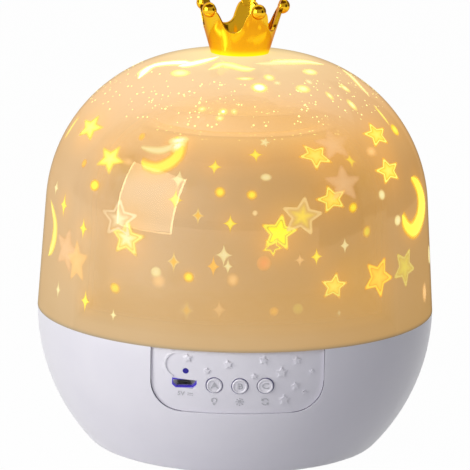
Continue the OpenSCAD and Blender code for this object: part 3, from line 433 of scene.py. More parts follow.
def makeDomeTint():
    # amber-tinted clear plastic: denser where it is seen edge on, with one clear gloss over it, and its glow
    # dimmed towards the rim as seen, a painted shade
    finish = Finish("domeTint")
    light = finish.glow()
    facing = finish.add("ShaderNodeLayerWeight", {"Blend": 0.5}).outputs["Facing"]
    (low, thin), (high, dense) = domeFinish["clear"], domeFinish["edge"]
    rimFrom, rimPaintedShade = domeFinish["rim"]
    # painted shade: the glow fades towards the rim where the wall is seen edge on
    glowWithPaintedRimShade = finish.add("ShaderNodeVectorMath", {
        0: light.outputs["Color"], "Scale": finish.spread(facing, 1.0, rimPaintedShade, rimFrom, 0.96),
    }, operation="SCALE")
    haze = finish.spread(facing, thin, dense, low, high)
    finish.shade({
        "Roughness": domeFinish["roughness"], "IOR": 1.33, "Specular IOR Level": 0.0,
        "Emission Strength": 1.0,
        "Base Color": finish.twoTone(finish.noise(40, detail=2), domeFinish["colour"], domeFinish["paler"]),
        "Emission Color": glowWithPaintedRimShade.outputs["Vector"],
        "Alpha": finish.maths("MAXIMUM", haze, light.outputs["Alpha"]),
    })
    gloss = finish.add("ShaderNodeBsdfAnisotropic", {
        "Roughness": domeFinish["glossRoughness"], "Color": domeFinish["glossColour"],
        "Normal": finish.bump(finish.noise(30, detail=1), strength=0.05, depth=0.0001),
    })
    front = finish.maths("SUBTRACT", 1.0, finish.add("ShaderNodeNewGeometry").outputs["Backfacing"])
    share = finish.maths("MULTIPLY", finish.spread(facing, *domeFinish["gloss"], 0.3, 1.0), front)
    finish.feed(finish.output, {"Surface": finish.mixed(share, finish.shader, gloss).outputs[0]})
    return finish.material


def makeBoardGreen():
    # solder mask over fine copper lines
    finish = Finish("boardGreen")
    cell = finish.add("ShaderNodeTexBrick", {
        "Scale": 260, "Mortar Size": 0.05, "Color1": tint(18, 92, 52), "Color2": tint(24, 108, 60),
        "Mortar": tint(46, 140, 84), "Vector": finish.place,
    }, offset=0.37, squash=0.6)
    finish.shade({
        "Coat Weight": 0.4, "Coat Roughness": 0.15, "Base Color": cell.outputs["Color"],
        "Roughness": finish.spread(finish.noise(200), 0.3, 0.45),
    })
    finish.bump(cell.outputs["Fac"], strength=0.3, depth=0.00003)
    return finish.material


def makeLensClear():
    finish = Finish("lensClear")
    cloud = finish.noise(80, detail=2)
    finish.shade({
        "Roughness": 0.08, "Alpha": 0.35, "Coat Weight": 0.5, "IOR": 1.49,
        "Base Color": finish.twoTone(cloud, tint(226, 238, 242), tint(236, 244, 246)),
    })
    finish.bump(cloud, strength=0.1, depth=0.00005)
    return finish.material


def makeEmitter(name, colour, glow):
    finish = Finish(name)
    cell = finish.add("ShaderNodeTexVoronoi", {"Scale": 1500, "Vector": finish.place})
    colours = finish.twoTone(cell.outputs["Distance"], colour, [c * 0.7 for c in colour], at=(0.0, 0.8))
    finish.shade({
        "Roughness": 0.3, "Emission Strength": glow, "Base Color": colours, "Emission Color": colours,
    })
    return finish.material


shellWhite = moulded("shellWhite", tint(231, 229, 237), tint(235, 233, 240), 0.36, grain=1500, depth=0.00002,
                     strength=0.12, cloudScale=45, gloss=(0.92, 1.08),
                     more={"Coat Weight": 0.25, "Coat Roughness": 0.22, "IOR": 1.47})
crownGold = makeCrownGold()
domeTint = makeDomeTint()
filmGlow = glowing("filmGlow", 1.0, (0.31, 0.31, 0.28), 0.4)
motifGlow = glowing("motifGlow", 1.05, (0.10, 0.10, 0.06), 0.5, seeThrough=True)
innerWhite = moulded("innerWhite", tint(214, 214, 216), tint(224, 224, 226), 0.5)
rubber = moulded("footRubber", tint(52, 52, 55), tint(66, 66, 69), 0.8, grain=1800, depth=0.00008)
blackPlastic = moulded("blackPlastic", tint(24, 24, 26), tint(34, 34, 36), 0.45)
plungerBrown = moulded("plungerBrown", tint(96, 62, 40), tint(112, 76, 52), 0.45)
ivory = moulded("socketIvory", tint(226, 219, 196), tint(235, 229, 208), 0.45)
batteryWrap = moulded("batteryWrap", tint(58, 92, 150), tint(66, 104, 166), 0.32, grain=500,
                      more={"Coat Weight": 0.3})
steel = brushed("steel", tint(176, 176, 180), tint(206, 206, 209), 0.28)
leadRed = moulded("leadRed", tint(170, 30, 28), tint(186, 42, 36), 0.5)
leadYellow = moulded("leadYellow", tint(214, 168, 40), tint(226, 182, 56), 0.5)
leadWhite = moulded("leadWhite", tint(214, 214, 212), tint(226, 226, 224), 0.5)
boardGreen = makeBoardGreen()
lensClear = makeLensClear()
emitterWarm = makeEmitter("emitterWarm", tint(255, 214, 120), 2.5)
emitterBlue = makeEmitter("emitterBlue", tint(28, 10, 140), 0.35)
lampBoardWhite = moulded("lampBoardWhite", tint(232, 232, 228), tint(240, 240, 238), 0.4)
markGrey = moulded("markGrey", tint(186, 186, 192), tint(198, 198, 203), 0.45)
# painted shade for the line round the panel's recess
paintedSeamShade = moulded("paintedSeamShade", tint(92, 88, 108), tint(104, 100, 120), 0.6)

nodeFinishes = [
    (steel, "usb_socket battery_strap drive_motor motor_shaft crown_washer crown_screw lamp_screws"),
    (steel, "post_screws cover_screws_set board_screws strap_screws deck_screws motor_screws"),
    (innerWhite, "bottom_cover top_deck turntable lamp_post"),
    (blackPlastic, "usb_tongue tact_switches board_chips"),
    (ivory, "lead_sockets drive_pinion turntable_clip"),
    (plungerBrown, "plunger_a plunger_b plunger_c"),
    (emitterBlue, "light_pipe status_led"),
    (rubber, "foot_pads"), (boardGreen, "control_board"), (batteryWrap, "battery_pack"),
    (lampBoardWhite, "lamp_board"), (emitterWarm, "lamp_emitters"), (lensClear, "lamp_lens"),
    (leadRed, "battery_leads"), (leadYellow, "motor_leads"), (leadWhite, "lamp_leads"),
]
for finish, names in nodeFinishes:
    for name in names.split():
        for slot in nodes[name].material_slots:
            slot.material = finish
print("finishes on the CAD nodes done")


def wear(obj, material, body):
    obj.data.materials.clear()
    obj.data.materials.append(material)
    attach(obj, body)


def addPiece(name, points, faces, smoothAngle, material, body):
    piece = meshFrom(name, points, faces, smoothAngle)
    outward(piece.data)
    wear(piece, material, body)
    return piece


baseSetup = {
    "shellEdge": 0.7 * mm, "panelEdge": 0.18 * mm, "seamWide": 0.42 * mm, "seamRise": 0.03 * mm,
    "seamHalf": 29.32, "seamCorner": 10.42, "seamLow": 26.08, "seamTop": 48.2,
}


def makeBase():
    shell = smoothCopy("base_shell", "baseShell", baseSetup["shellEdge"], 4)
    wear(shell, shellWhite, "base")
    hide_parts("base_shell")
    panel = smoothCopy("control_panel", "controlPanel", baseSetup["panelEdge"], 2)
    wear(panel, shellWhite, "base")
    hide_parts("control_panel")


makeBase()
print("base shell and panel done")

panelSetup = {
    "tilt": math.asin(12.3 / 69.25), "frameRadius": 68.899 * mm, "frameHeight": 36.2 * mm,
    "bowlRadius": 69.25 * mm, "bowlOff": 0.75 * mm, "seam": 48.5 * mm, "sink": 1.0 * mm,
    "signRise": 0.22 * mm, "strokeWidth": 0.36 * mm, "strokeSink": 0.05 * mm, "strokeTop": 0.75,
}


def panelPoint(x, y, z):
    # a point in the panel's own frame: x to the right, y up the panel, z outwards
    tilt = panelSetup["tilt"]
    return Vector((
        x,
        -panelSetup["frameRadius"] - y * math.sin(tilt) - z * math.cos(tilt),
        panelSetup["frameHeight"] + y * math.cos(tilt) - z * math.sin(tilt),
    ))


def panelRing(x, radius, z, columns):
    angles = [2 * math.pi * k / columns for k in range(columns)]
    return [panelPoint(x + radius * math.cos(a), radius * math.sin(a), z) for a in angles]


def panelSurface(x, z, rise):
    # a point on the panel's face at x and height z, raised by rise
    radius = panelSetup["bowlRadius"] - panelSetup["sink"] + rise
    ring = panelSetup["bowlOff"] + math.sqrt(radius ** 2 - (panelSetup["seam"] - z) ** 2)
    return Vector((x, -math.sqrt(ring ** 2 - x ** 2), z))


def faceDepth(x):
    # how far the panel's face lies behind its own frame at x
    reach = panelSetup["frameRadius"]
    return -(reach - math.sqrt((reach - panelSetup["sink"]) ** 2 - x ** 2))


def nodeDepth(node):
    # how far back a node reaches, measured along the panel's outward direction
    tilt = panelSetup["tilt"]
    out = Vector((0, -math.cos(tilt), -math.sin(tilt)))
    origin = panelPoint(0, 0, 0)
    return min((v.co - origin).dot(out) for v in nodes[node].data.vertices)


def addWords(name, words, size, rise, weight, place, body):
    # raised words; place puts each of their points on the panel
    curve = bpy.data.curves.new("words", "FONT")
    curve.body = words
    curve.size = size
    curve.extrude = rise
    curve.offset = weight
    curve.align_x, curve.align_y = "CENTER", "CENTER"
    curve.resolution_u = 4
    holder = addObject("words", curve)
    bpy.context.view_layer.update()
    mesh = plainMesh(holder)
    bpy.data.objects.remove(holder)
    for vertex in mesh.vertices:
        vertex.co = place(*vertex.co)
    sign = addObject(name, mesh)
    outward(mesh)
    smoothShade(mesh, 30)
    wear(sign, markGrey, body)


buttonSetup = {
    "places": [("a", -7.8), ("b", 0.8), ("c", 9.4)], "radius": 2.65 * mm, "proud": 0.6 * mm,
    "round": 0.35 * mm, "rim": 0.36 * mm, "dish": 0.3 * mm,
    "stem": 1.2 * mm, "stemHigh": 0.2 * mm, "flange": 3.55 * mm,
    "flangeThick": 0.8 * mm, "columns": 64, "letterSize": 2.9 * mm, "letterWide": 1.3, "letterRise": 0.2 * mm,
    "letterWeight": 0.04 * mm, "gapRing": (2.68 * mm, 2.93 * mm),
}


def buttonProfile(back, face):
    # (radius, depth) from the back of the stem, over the flange and the round edge, to the dished middle
    r, bend, dish, stem, flange = (buttonSetup[k] for k in ("radius", "round", "dish", "stem", "flange"))
    step = back + buttonSetup["stemHigh"]
    top = step + buttonSetup["flangeThick"]
    inner = r - bend - buttonSetup["rim"]
    quarter = [math.pi / 2 * i / 5 for i in range(6)]
    return (
        [(tiny, back), (stem, back), (stem, step), (flange, step), (flange, top), (r, top)]
        + [(r - bend + bend * math.cos(a), face - bend + bend * math.sin(a)) for a in quarter]
        + [(inner + dish - dish * math.sin(a), face - dish + dish * math.cos(a)) for a in quarter]
        + [(inner * 0.5, face - dish * 1.05), (tiny, face - dish * 1.08)]
    )


def makeButtons():
    dish, wide, columns = (buttonSetup[k] for k in ("dish", "letterWide", "columns"))
    for letter, x in buttonSetup["places"]:
        x *= mm
        name = "button_" + letter
        face = faceDepth(x) + buttonSetup["proud"]
        profile = buttonProfile(nodeDepth(name), face)
        points = [point for radius, z in profile for point in panelRing(x, radius, z, columns)]
        cap = addPiece("buttonCap" + letter.upper(), points, gridFaces(len(profile), columns), 50, shellWhite,
                       name)
        smoothShade(cap.data, 50)
        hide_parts(name)
        addWords("buttonLetter" + letter.upper(), letter.upper(), buttonSetup["letterSize"],
                 buttonSetup["letterRise"], buttonSetup["letterWeight"],
                 lambda u, v, w: panelPoint(x + u * wide, v, face - dish + w), name)
    print("buttons done")


makeButtons()


def stroke(points, faces, path, width, closed=False, rise=panelSetup["signRise"]):
    # a raised line on the panel's face along x and height points, in millimetres
    count, start = len(path), len(points)
    sink, top = -panelSetup["strokeSink"], panelSetup["strokeTop"]
    for i, (x, z) in enumerate(path):
        a = path[(i - 1) % count] if closed or i > 0 else path[i]
        b = path[(i + 1) % count] if closed or i < count - 1 else path[i]
        d = Vector((b[0] - a[0], b[1] - a[1])).normalized()
        side = Vector((-d.y, d.x)) * width / 2
        for s, up in ((1, sink), (top, rise), (-top, rise), (-1, sink)):
            points.append(panelSurface(x * mm + side.x * s, z * mm + side.y * s, up))
    faces += gridFaces(count, 4, start, closedRows=closed)
    if not closed:
        faces.append(tuple(start + k for k in (3, 2, 1, 0)))
        faces.append(tuple(start + (count - 1) * 4 + k for k in range(4)))


def ringPath(x, z, radius, start=0, end=360, count=20):
    angles = [math.radians(start + (end - start) * i / count) for i in range(count + 1)]
    return [(x + radius * math.cos(a), z + radius * math.sin(a)) for a in angles]


signSetup = {
    # in millimetres and degrees
    "row": 30.6, "bulb": (0.35, 0.85, -50, 230), "bulbLines": ((0.75, 0.5), (1.3, 0.35)), "sun": 0.5,
    "rays": (0.95, 1.5), "arrow": 1.15, "arrowSweep": 130, "arrowTip": 142, "arrowBack": 110,
    "arrowReach": (0.75, 1.6), "thin": 0.9, "thinner": 0.8, "voltage": (-18.0, 32.7),
    "current": (1.2, 3.0, 0.35), "dash": 0.4, "dashStep": 0.7,
    "textAside": 1.0, "textSize": 2.2 * mm, "textRise": 0.15 * mm,
    "textWeight": 0.03 * mm,
}


def makeSigns():
    points, faces = [], []
    width, z = panelSetup["strokeWidth"], signSetup["row"]
    lampX, sunX, turnX = (x for letter, x in buttonSetup["places"])

    def draw(path, share=1, closed=False):
        stroke(points, faces, path, width * share, closed)

    bulbUp, bulbRadius, bulbStart, bulbEnd = signSetup["bulb"]
    draw(ringPath(lampX, z + bulbUp, bulbRadius, bulbStart, bulbEnd, 16))
    for down, half in signSetup["bulbLines"]:
        draw([(lampX - half, z - down), (lampX + half, z - down)])
    draw(ringPath(sunX, z, signSetup["sun"], count=12)[:-1], closed=True)
    for k in range(8):
        a = math.radians(45 * k)
        draw([(sunX + r * math.cos(a), z + r * math.sin(a)) for r in signSetup["rays"]], signSetup["thin"])
    for start in (20, 200):       # two arrows that chase each other
        draw(ringPath(turnX, z, signSetup["arrow"], start, start + signSetup["arrowSweep"], 10))
        a, back = (math.radians(start + signSetup[k]) for k in ("arrowTip", "arrowBack"))
        tip = (turnX + signSetup["arrow"] * math.cos(a), z + signSetup["arrow"] * math.sin(a))
        for reach in signSetup["arrowReach"]:
            draw([tip, (turnX + reach * math.cos(back), z + reach * math.sin(back))], signSetup["thin"])
    (x, z), (left, right, up) = signSetup["voltage"], signSetup["current"]
    draw([(x + left, z + up), (x + right, z + up)], signSetup["thinner"])     # direct current
    for k in range(3):
        dashFrom = x + left + signSetup["dashStep"] * k
        draw([(dashFrom, z - up), (dashFrom + signSetup["dash"], z - up)], signSetup["thinner"])
    addPiece("panelSigns", points, faces, 30, markGrey, "base")
    textX = (x - signSetup["textAside"]) * mm
    addWords("voltageSign", "5V", signSetup["textSize"], signSetup["textRise"], signSetup["textWeight"],
             lambda u, v, w: panelSurface(textX + u, z * mm + v, w), "base")
    print("signs done")


makeSigns()


def makePanelSeam():
    # a painted shade line at the foot of the recess round the panel
    half, corner, low, top = (baseSetup[k] for k in ("seamHalf", "seamCorner", "seamLow", "seamTop"))
    bend = ringPath(0, low + corner, corner, 180, 270, 18)
    path = [(-half, top)] + [(x - half + corner, z) for x, z in bend]
    path += [(-x, z) for x, z in path[::-1]]
    points, faces = [], []
    stroke(points, faces, path, baseSetup["seamWide"], rise=baseSetup["seamRise"])
    addPiece("panelSeam", points, faces, 30, paintedSeamShade, "base")


makePanelSeam()

# painted shade in the button gaps, as dark violet rings with a faint blue glow, and blue light in the
# charging socket
blueSetup = {
    "depth": 0.06 * mm, "thick": 0.15 * mm, "columns": 48, "colour": tint(46, 32, 110), "glow": 0.04,
    "bright": tint(70, 50, 196), "brightGlow": 0.3, "socket": (-17.9 * mm, -0.4 * mm),
    "mouth": (8.3 * mm, 3.3 * mm), "cut": 1.19 * mm, "lining": 0.36 * mm,
    "liningDepths": (0.55 * mm, 2.3 * mm),
}
gapShadeViolet = makeEmitter("gapShadeViolet", blueSetup["colour"], blueSetup["glow"])
socketGlow = makeEmitter("socketGlow", blueSetup["bright"], blueSetup["brightGlow"])


# a dark violet ring flush in each button's gap: painted shade of the gap, with a faint blue glow
def makeButtonGapShade():
    points, faces = [], []
    inner, outer = buttonSetup["gapRing"]
    columns = blueSetup["columns"]
    for letter, x in buttonSetup["places"]:
        face = faceDepth(x * mm) - blueSetup["depth"]
        back = face - blueSetup["thick"]
        faces += gridFaces(4, columns, len(points), closedRows=True)
        for radius, z in ((inner, face), (outer, face), (outer, back), (inner, back)):
            points += panelRing(x * mm, radius, z, columns)
    addPiece("buttonGapShade", points, faces, 60, gapShadeViolet, "base")


def makeSocketLight():
    # a lit lining round the socket's mouth, which is cut off at its two lower corners
    (x0, y0), (w, h), cut = blueSetup["socket"], blueSetup["mouth"], blueSetup["cut"]
    front, back = (faceDepth(x0) - depth for depth in blueSetup["liningDepths"])
    points = []
    for inset, z in ((0, front), (blueSetup["lining"], front), (blueSetup["lining"], back), (0, back)):
        a, b = w / 2 - inset, h / 2 - inset
        for x, y in [(-a, b), (-a, -b + cut), (-a + cut, -b), (a - cut, -b), (a, -b + cut), (a, b)]:
            points.append(panelPoint(x0 + x, y0 + y, z))
    addPiece("socketLight", points, gridFaces(4, 6, closedRows=True), 20, socketGlow, "base")


makeButtonGapShade()
makeSocketLight()
print("blue light done")


# stars, moons and sparks on the film and on the outer dome
def tone(middle, rim, line=None, gap=None, halo=0.0, cover=1.0, soft=0.0, glow=None, reach=0.0,
         lineCover=None):
    # line and gap: the outline and the darker band inside it; soft: how far the fill fades towards its rim;
    # glow, reach: the light that spills over the edge and how far in millimetres; halo: light on the ground
    return {"middle": middle, "rim": rim, "line": line, "gap": gap, "halo": halo, "cover": cover,
            "soft": soft, "glow": glow, "reach": reach, "lineCover": lineCover or cover}


tones = {
    "hot": tone(tint(255, 255, 196), tint(250, 226, 96), tint(255, 244, 120), tint(246, 200, 70), 1.2,
                glow=tint(255, 214, 96), reach=1.5),
    "blaze": tone(tint(255, 250, 60), tint(255, 228, 30), tint(255, 246, 70), tint(252, 206, 40), 1.4,
                  glow=tint(255, 190, 40), reach=1.4),
    "bright": tone((1.35, 1.2, 0.0), (1.2, 1.02, 0.0), tint(255, 248, 70), tint(226, 200, 10), 1.1,
                   glow=tint(255, 196, 70), reach=1.0),
    "warm": tone((1.12, 0.86, 0.12), (1.04, 0.70, 0.04), tint(255, 248, 110), tint(246, 184, 36), 0.9,
                 glow=tint(250, 184, 60), reach=1.2),
    "fuzzy": tone(tint(255, 252, 120), tint(255, 232, 60), halo=1.2, cover=1.0,
                  glow=tint(255, 216, 70), reach=2.0),
    "gold": tone((1.04, 0.62, 0.05), (0.98, 0.50, 0.03), tint(255, 216, 70), tint(246, 170, 36), 0.5, 0.95,
                 glow=tint(248, 170, 50), reach=1.0, lineCover=0.6),
    "spark": tone(tint(255, 246, 80), tint(255, 222, 30), halo=0.7, glow=tint(255, 206, 50), reach=0.8),
    "lined": tone(tint(250, 190, 40), tint(246, 180, 40), tint(255, 236, 150), tint(196, 132, 40), 0.0,
                  glow=tint(226, 164, 80), reach=0.5),
    "dot": tone(tint(255, 246, 40), tint(255, 222, 10), halo=0.8, glow=tint(250, 190, 30), reach=0.9),
    "amber": tone(tint(255, 190, 60), tint(250, 180, 60), halo=0.1, cover=0.8,
                  glow=tint(250, 180, 70), reach=0.7),
    "ghost": tone(tint(255, 228, 70), tint(236, 200, 110), tint(252, 222, 150), tint(236, 200, 120), 0.3,
                  0.72, 0.55,
                  glow=tint(246, 206, 130), reach=0.7, lineCover=0.42),
    "milk": tone(tint(252, 240, 190), tint(240, 214, 160), tint(255, 234, 190), tint(236, 204, 150), 0.3,
                 0.6, 0.85,
                 glow=tint(250, 220, 160), reach=0.7, lineCover=0.42),
    "blush": tone(tint(250, 206, 160), tint(250, 200, 150), halo=0.3, cover=0.34, soft=0.3,
                  glow=tint(250, 196, 150), reach=2.0),
    "peach": tone(tint(255, 206, 136), tint(255, 200, 128), halo=0.2, cover=0.45, soft=0.2,
                  glow=tint(255, 200, 130), reach=1.4),
    "olive": tone(tint(226, 208, 84), tint(216, 192, 84), tint(228, 212, 110), tint(210, 180, 80), 0.0,
                  0.5, 0.25,
                  glow=tint(220, 190, 90), reach=0.7, lineCover=0.34),
    "cream": tone(tint(250, 240, 180), tint(240, 222, 150), halo=0.0, cover=0.55,
                  glow=tint(240, 216, 150), reach=0.6),
    "streak": tone((2.0, 1.9, 1.3), (1.2, 1.1, 0.35), halo=0.5, cover=0.95,
                   glow=tint(255, 236, 120), reach=1.2),
    "flare": tone((1.3, 1.25, 1.0), (1.1, 1.0, 0.5), halo=0.4, cover=0.95, soft=0.6,
                  glow=tint(255, 244, 160), reach=1.6),
    "soft": tone(tint(255, 250, 190), tint(255, 240, 130), cover=0.85, soft=0.3,
                 glow=tint(255, 232, 130), reach=1.0),
    "glint": tone(tint(255, 250, 120), tint(255, 224, 90), halo=0.2, cover=0.75,
                  glow=tint(255, 218, 110), reach=0.8),
    "ember": tone(tint(255, 158, 92), tint(250, 166, 96), cover=0.45, soft=0.5,
                  glow=tint(246, 168, 100), reach=1.0),
    "pale": tone(tint(250, 222, 160), tint(248, 214, 150), cover=0.6, glow=tint(245, 205, 140), reach=0.5),
}

# kind, turn from the front in degrees, height, width, length (mm), rotation in degrees, tone
filmMotifs = [
    ("star", -41, 81.6, 13.4, 11.2, 2, "hot"),
    ("star", 12.6, 87, 12, 11.8, 9, "bright"),
    ("star", 30, 111, 11.2, 10.4, -18, "warm"),
    ("star", 32, 97.2, 11.4, 8.4, -12, "warm"),
    ("star", 33, 67, 9.8, 8.2, 10, "warm"),
    ("outline", 10.4, 82.4, 5.8, 5.4, 30, "bright"),
    ("spark", -10, 108.4, 4.6, 5.6, 0, "spark"),
    ("spark", 5.4, 112, 4.6, 6.2, 0, "spark"),
    ("spark", -22.6, 97.2, 5.2, 7.2, 0, "spark"),
    ("spark", -14.5, 92.5, 4.6, 5.8, 0, "lined"),
    ("spark", -3.7, 90.3, 4.6, 5.8, 0, "spark"),
    ("spark", -22.5, 76, 4.8, 7.2, 0, "lined"),
    ("spark", -17.6, 59.6, 4.8, 7.2, 0, "lined"),
    ("spark", 45, 108.3, 4.4, 5.4, 20, "spark"),
    ("spark", 26, 78, 4.2, 5.4, 0, "spark"),
    ("spark", -4.2, 75.6, 3.2, 5.6, 0, "cream"),
    ("spark", -9, 75.4, 4.2, 7, 0, "amber"),
    ("dot", -7.4, 100.7, 2.3, 2.3, 0, "dot"),
    ("dot", 3.3, 100, 2.2, 2.0, 0, "dot"),
    ("dot", -17.2, 71.2, 2.4, 2.3, 0, "dot"),
    ("dot", -45.7, 63.5, 3.4, 2.6, 0, "dot"),
    ("dot", 41, 93.3, 2.7, 2.4, 0, "dot"),
    ("dot", 48, 84, 2.8, 2.8, 0, "dot"),
    ("dot", 11.2, 60, 2.1, 2.1, 0, "amber"),
    ("dot", -2.5, 71, 2.0, 2.2, 0, "peach"),
    ("dot", 7.6, 76.8, 3.6, 3.8, 0, "ember"),
    ("crescent", [(-39.4, 107.6), (-36.4, 106.4), (-31.8, 105.8), (-27.8, 106.9), (-25, 109), (-24.1, 111.4),
                  (-26.1, 113.9), (-31.8, 115.4)],
     [(-39.4, 107.6), (-36.4, 107.3), (-32.2, 107.5), (-29.1, 108.9), (-27.2, 110.6), (-27, 112),
      (-29, 114.3), (-31.8, 115.4)], "blaze"),
    ("crescent", [(-43.7, 111.7), (-38, 110.9), (-33.3, 110.9), (-29.8, 112.1), (-30.6, 114.2)],
     [(-43.7, 111.7), (-39.2, 111.9), (-34.7, 112.3), (-31.2, 113.3), (-30.6, 114.2)], "cream"),
    ("dot", -29.0, 114.6, 4.6, 4.6, 0, "flare"),
    ("dot", -27.6, 113.4, 3.6, 4.6, 0, "flare"),
]
domeInside = [
    ("star", -39.5, 89.6, 15, 12.4, -2, "milk"),
    ("star", 18.3, 93.6, 14.2, 12.6, 11, "ghost"),
    ("star", 34.6, 115.4, 12, 10, 0, "blush"),
    ("star", 34, 103, 12.5, 10.5, 5, "blush"),
    ("spark", -20.5, 105, 5.4, 7, 0, "cream"),
    ("spark", -6.2, 62.4, 4, 5.4, 0, "peach"),
    ("spark", -5.2, 81, 5.8, 7.6, 0, "cream"),
    ("spark", 32.4, 82.6, 4, 5.6, 0, "cream"),
    ("dot", 16.8, 62.5, 2.8, 2.8, 0, "olive"),
    ("dot", 7.5, 106.6, 3, 2, 0, "cream"),
    ("dot", -25.5, 73.6, 3.2, 3, 0, "cream"),
    ("dot", -24.6, 70.7, 2.8, 2.6, 0, "peach"),
    ("dot", 3.8, 95.2, 1.3, 1.3, 0, "pale"),
    ("dash", -40.7, 108.4, 2.6, 1.4, 0, "peach"),
    ("star", 8, 117.2, 3, 3, 20, "cream"),
    ("spark", 17.4, 79, 2.8, 3.4, 0, "peach"),
    ("spark", 30, 59.8, 2, 2.8, 0, "cream"),
]
domeOutside = [
    ("star", -65, 116, 12.6, 7.8, 0, "fuzzy"),
    ("star", -46.5, 108.7, 9.8, 7.8, 20, "fuzzy"),
    ("star", 55, 116.4, 12.5, 8.6, 0, "warm"),
    ("star", 53, 105, 12.9, 8.4, -4, "warm"),
    ("star", 43.6, 70.4, 13.4, 13, 28, "gold"),
    ("star", 56.4, 71.3, 13.8, 13, 33, "olive"),
    ("star", -60.4, 75, 13, 13, 12, "blush"),
    ("star", -54.3, 72.2, 10.6, 13, -6, "peach"),
    ("spark", -64, 89.8, 4.6, 8, 0, "spark"),
    ("spark", -52.2, 84.3, 4, 6.8, 0, "spark"),
    ("spark", -49.2, 59.8, 4.2, 7, 0, "spark"),
    ("spark", -72, 94, 4.8, 5.4, 0, "cream"),
    ("spark", -63.7, 60.2, 3.2, 6.4, 0, "cream"),
    ("spark", -38, 57.3, 2.6, 4.2, 0, "cream"),
    ("dot", -49.7, 99.5, 3.4, 2.8, 0, "dot"),
    ("dot", 47, 98, 2.6, 2.8, 0, "cream"),
    ("dot", 53.3, 88.2, 3.2, 3, 0, "cream"),
    ("dot", 48, 112, 2.6, 1.8, 0, "peach"),
    ("dash", -37, 117, 1.6, 2, 0, "amber"),
    ("dash", -58, 105.3, 1.8, 2.0, 0, "amber"),
    ("dash", 70, 115.8, 4, 3.4, 0, "spark"),
    ("dash", 70.5, 59, 3, 4.4, 0, "peach"),
    ("dash", 80, 70, 4, 6, 0, "cream"),
    ("crescent", [(66.1, 100.6), (70.7, 98.6), (73.7, 94.9), (75.1, 91), (73.9, 86.7), (70.4, 83.7),
                  (66.6, 81.7),
                  (62.5, 81.2), (59.2, 83), (56.8, 85.9), (55.9, 89.6)],
     [(66.1, 100.6), (67.6, 98.2), (69.1, 94.5), (68.8, 91.1), (67.2, 87.9), (64.9, 86), (62.3, 84.8),
      (60, 85.3),
      (58.1, 87.1), (57, 88.3), (55.9, 89.6)], "blaze"),
    ("ribbon", [(-75.8, 88.8), (-71.9, 85.3), (-69.4, 81.5), (-69.6, 76.2), (-71.6, 72.1), (-73.7, 69.6)],
     [0.8, 1.9, 3.0, 3.8, 3.2, 1.8], "glint"),
]
topLights = [
    # light thrown on the dome's top, round the crown, with painted highlights near its edges as seen
    ("ribbon", [(-65.3, 132), (-68.2, 133.2), (-72.6, 134.3), (-73.5, 135.5), (-64.5, 136.8), (-49.2, 137.7)],
     [5.0, 4.6, 4.0, 4.0, 4.4, 2.4], "streak"),
    ("ribbon", [(-25.1, 136.7), (-21.2, 137.4), (-18.6, 138), (-7.8, 137.8), (2.8, 137.3), (11.2, 137.3)],
     [2, 4.4, 5, 3.8, 4, 2], "soft"),
    ("ribbon", [(31.7, 138.2), (42.6, 138.2), (67.8, 137.5), (80.7, 135.9)], [2.4, 5.4, 5, 2.4], "soft"),
    # painted highlight: a streak along the right edge as seen
    ("ribbon", [(91, 133.4), (86, 132.2), (77.3, 129.9), (72.4, 126.4)], [0.8, 1.8, 1.6, 0.8], "soft"),
    ("ribbon", [(-52, 136.6), (-46, 137.4), (-41, 138.2), (-37, 138.95)], [2.4, 5, 4.6, 2.4], "streak"),
    ("ribbon", [(14.3, 138.2), (31.9, 138.1), (47.7, 138.1), (60.4, 138.1)], [2, 4, 4.6, 2], "cream"),
    ("dash", -42.2, 135.3, 6.6, 4.2, 0, "soft"),
    ("dash", 9.1, 132.9, 4.0, 3.8, 0, "streak"),
    ("dash", 32.7, 132, 4.0, 3.2, 0, "soft"),
    ("dash", 51.3, 135.6, 5.0, 3.4, 0, "soft"),
    ("dash", 17.3, 135.3, 2.6, 3.0, 0, "soft"),
    ("dash", 40.4, 133.5, 1.8, 2.4, 0, "cream"),
    ("dash", 1.9, 135.1, 4, 1.4, 0, "soft"),
    ("dash", 20.2, 133.9, 1.8, 1.8, 0, "cream"),
    ("dash", -8, 126.3, 1.3, 1.3, 0, "streak"),
    ("dash", -17, 126.7, 1.4, 1.2, 0, "soft"),
    ("dash", -3.5, 126.4, 0.9, 1.0, 0, "soft"),
    ("dash", -9, 124.4, 1.4, 1.2, 0, "soft"),
    ("dash", 53, 126, 2.0, 3.4, -30, "soft"),
    ("dash", 44.5, 129.4, 1.3, 2.4, -30, "soft"),
    # painted highlight: a glint near the right edge as seen
    ("dash", 68, 121.0, 1.3, 7, -26, "glint"),
    ("dash", 60, 130.4, 2.0, 3.0, -20, "soft"),
    # painted highlight: a glint at the left edge as seen
    ("dash", -82, 113, 1.6, 8, 8, "glint"),
]


def starShape(count=5, waist=0.53):
    flat = []
    for k in range(2 * count):
        angle = math.pi * k / count
        if k % 2:
            flat.append((waist * math.sin(angle), waist * math.cos(angle)))
        else:      # round tips
            for turn, reach in ((-0.13, 0.87), (-0.08, 0.96), (0, 1.0), (0.08, 0.96), (0.13, 0.87)):
                flat.append((reach * math.sin(angle + turn), reach * math.cos(angle + turn)))
    return flat


def roundShape(count, power=1):
    # a disc, or with a higher power a spark with four points
    flat = []
    for k in range(count):
        s, c = math.sin(2 * math.pi * k / count), math.cos(2 * math.pi * k / count)
        flat.append((math.copysign(abs(s) ** power, s), math.copysign(abs(c) ** power, c)))
    return flat


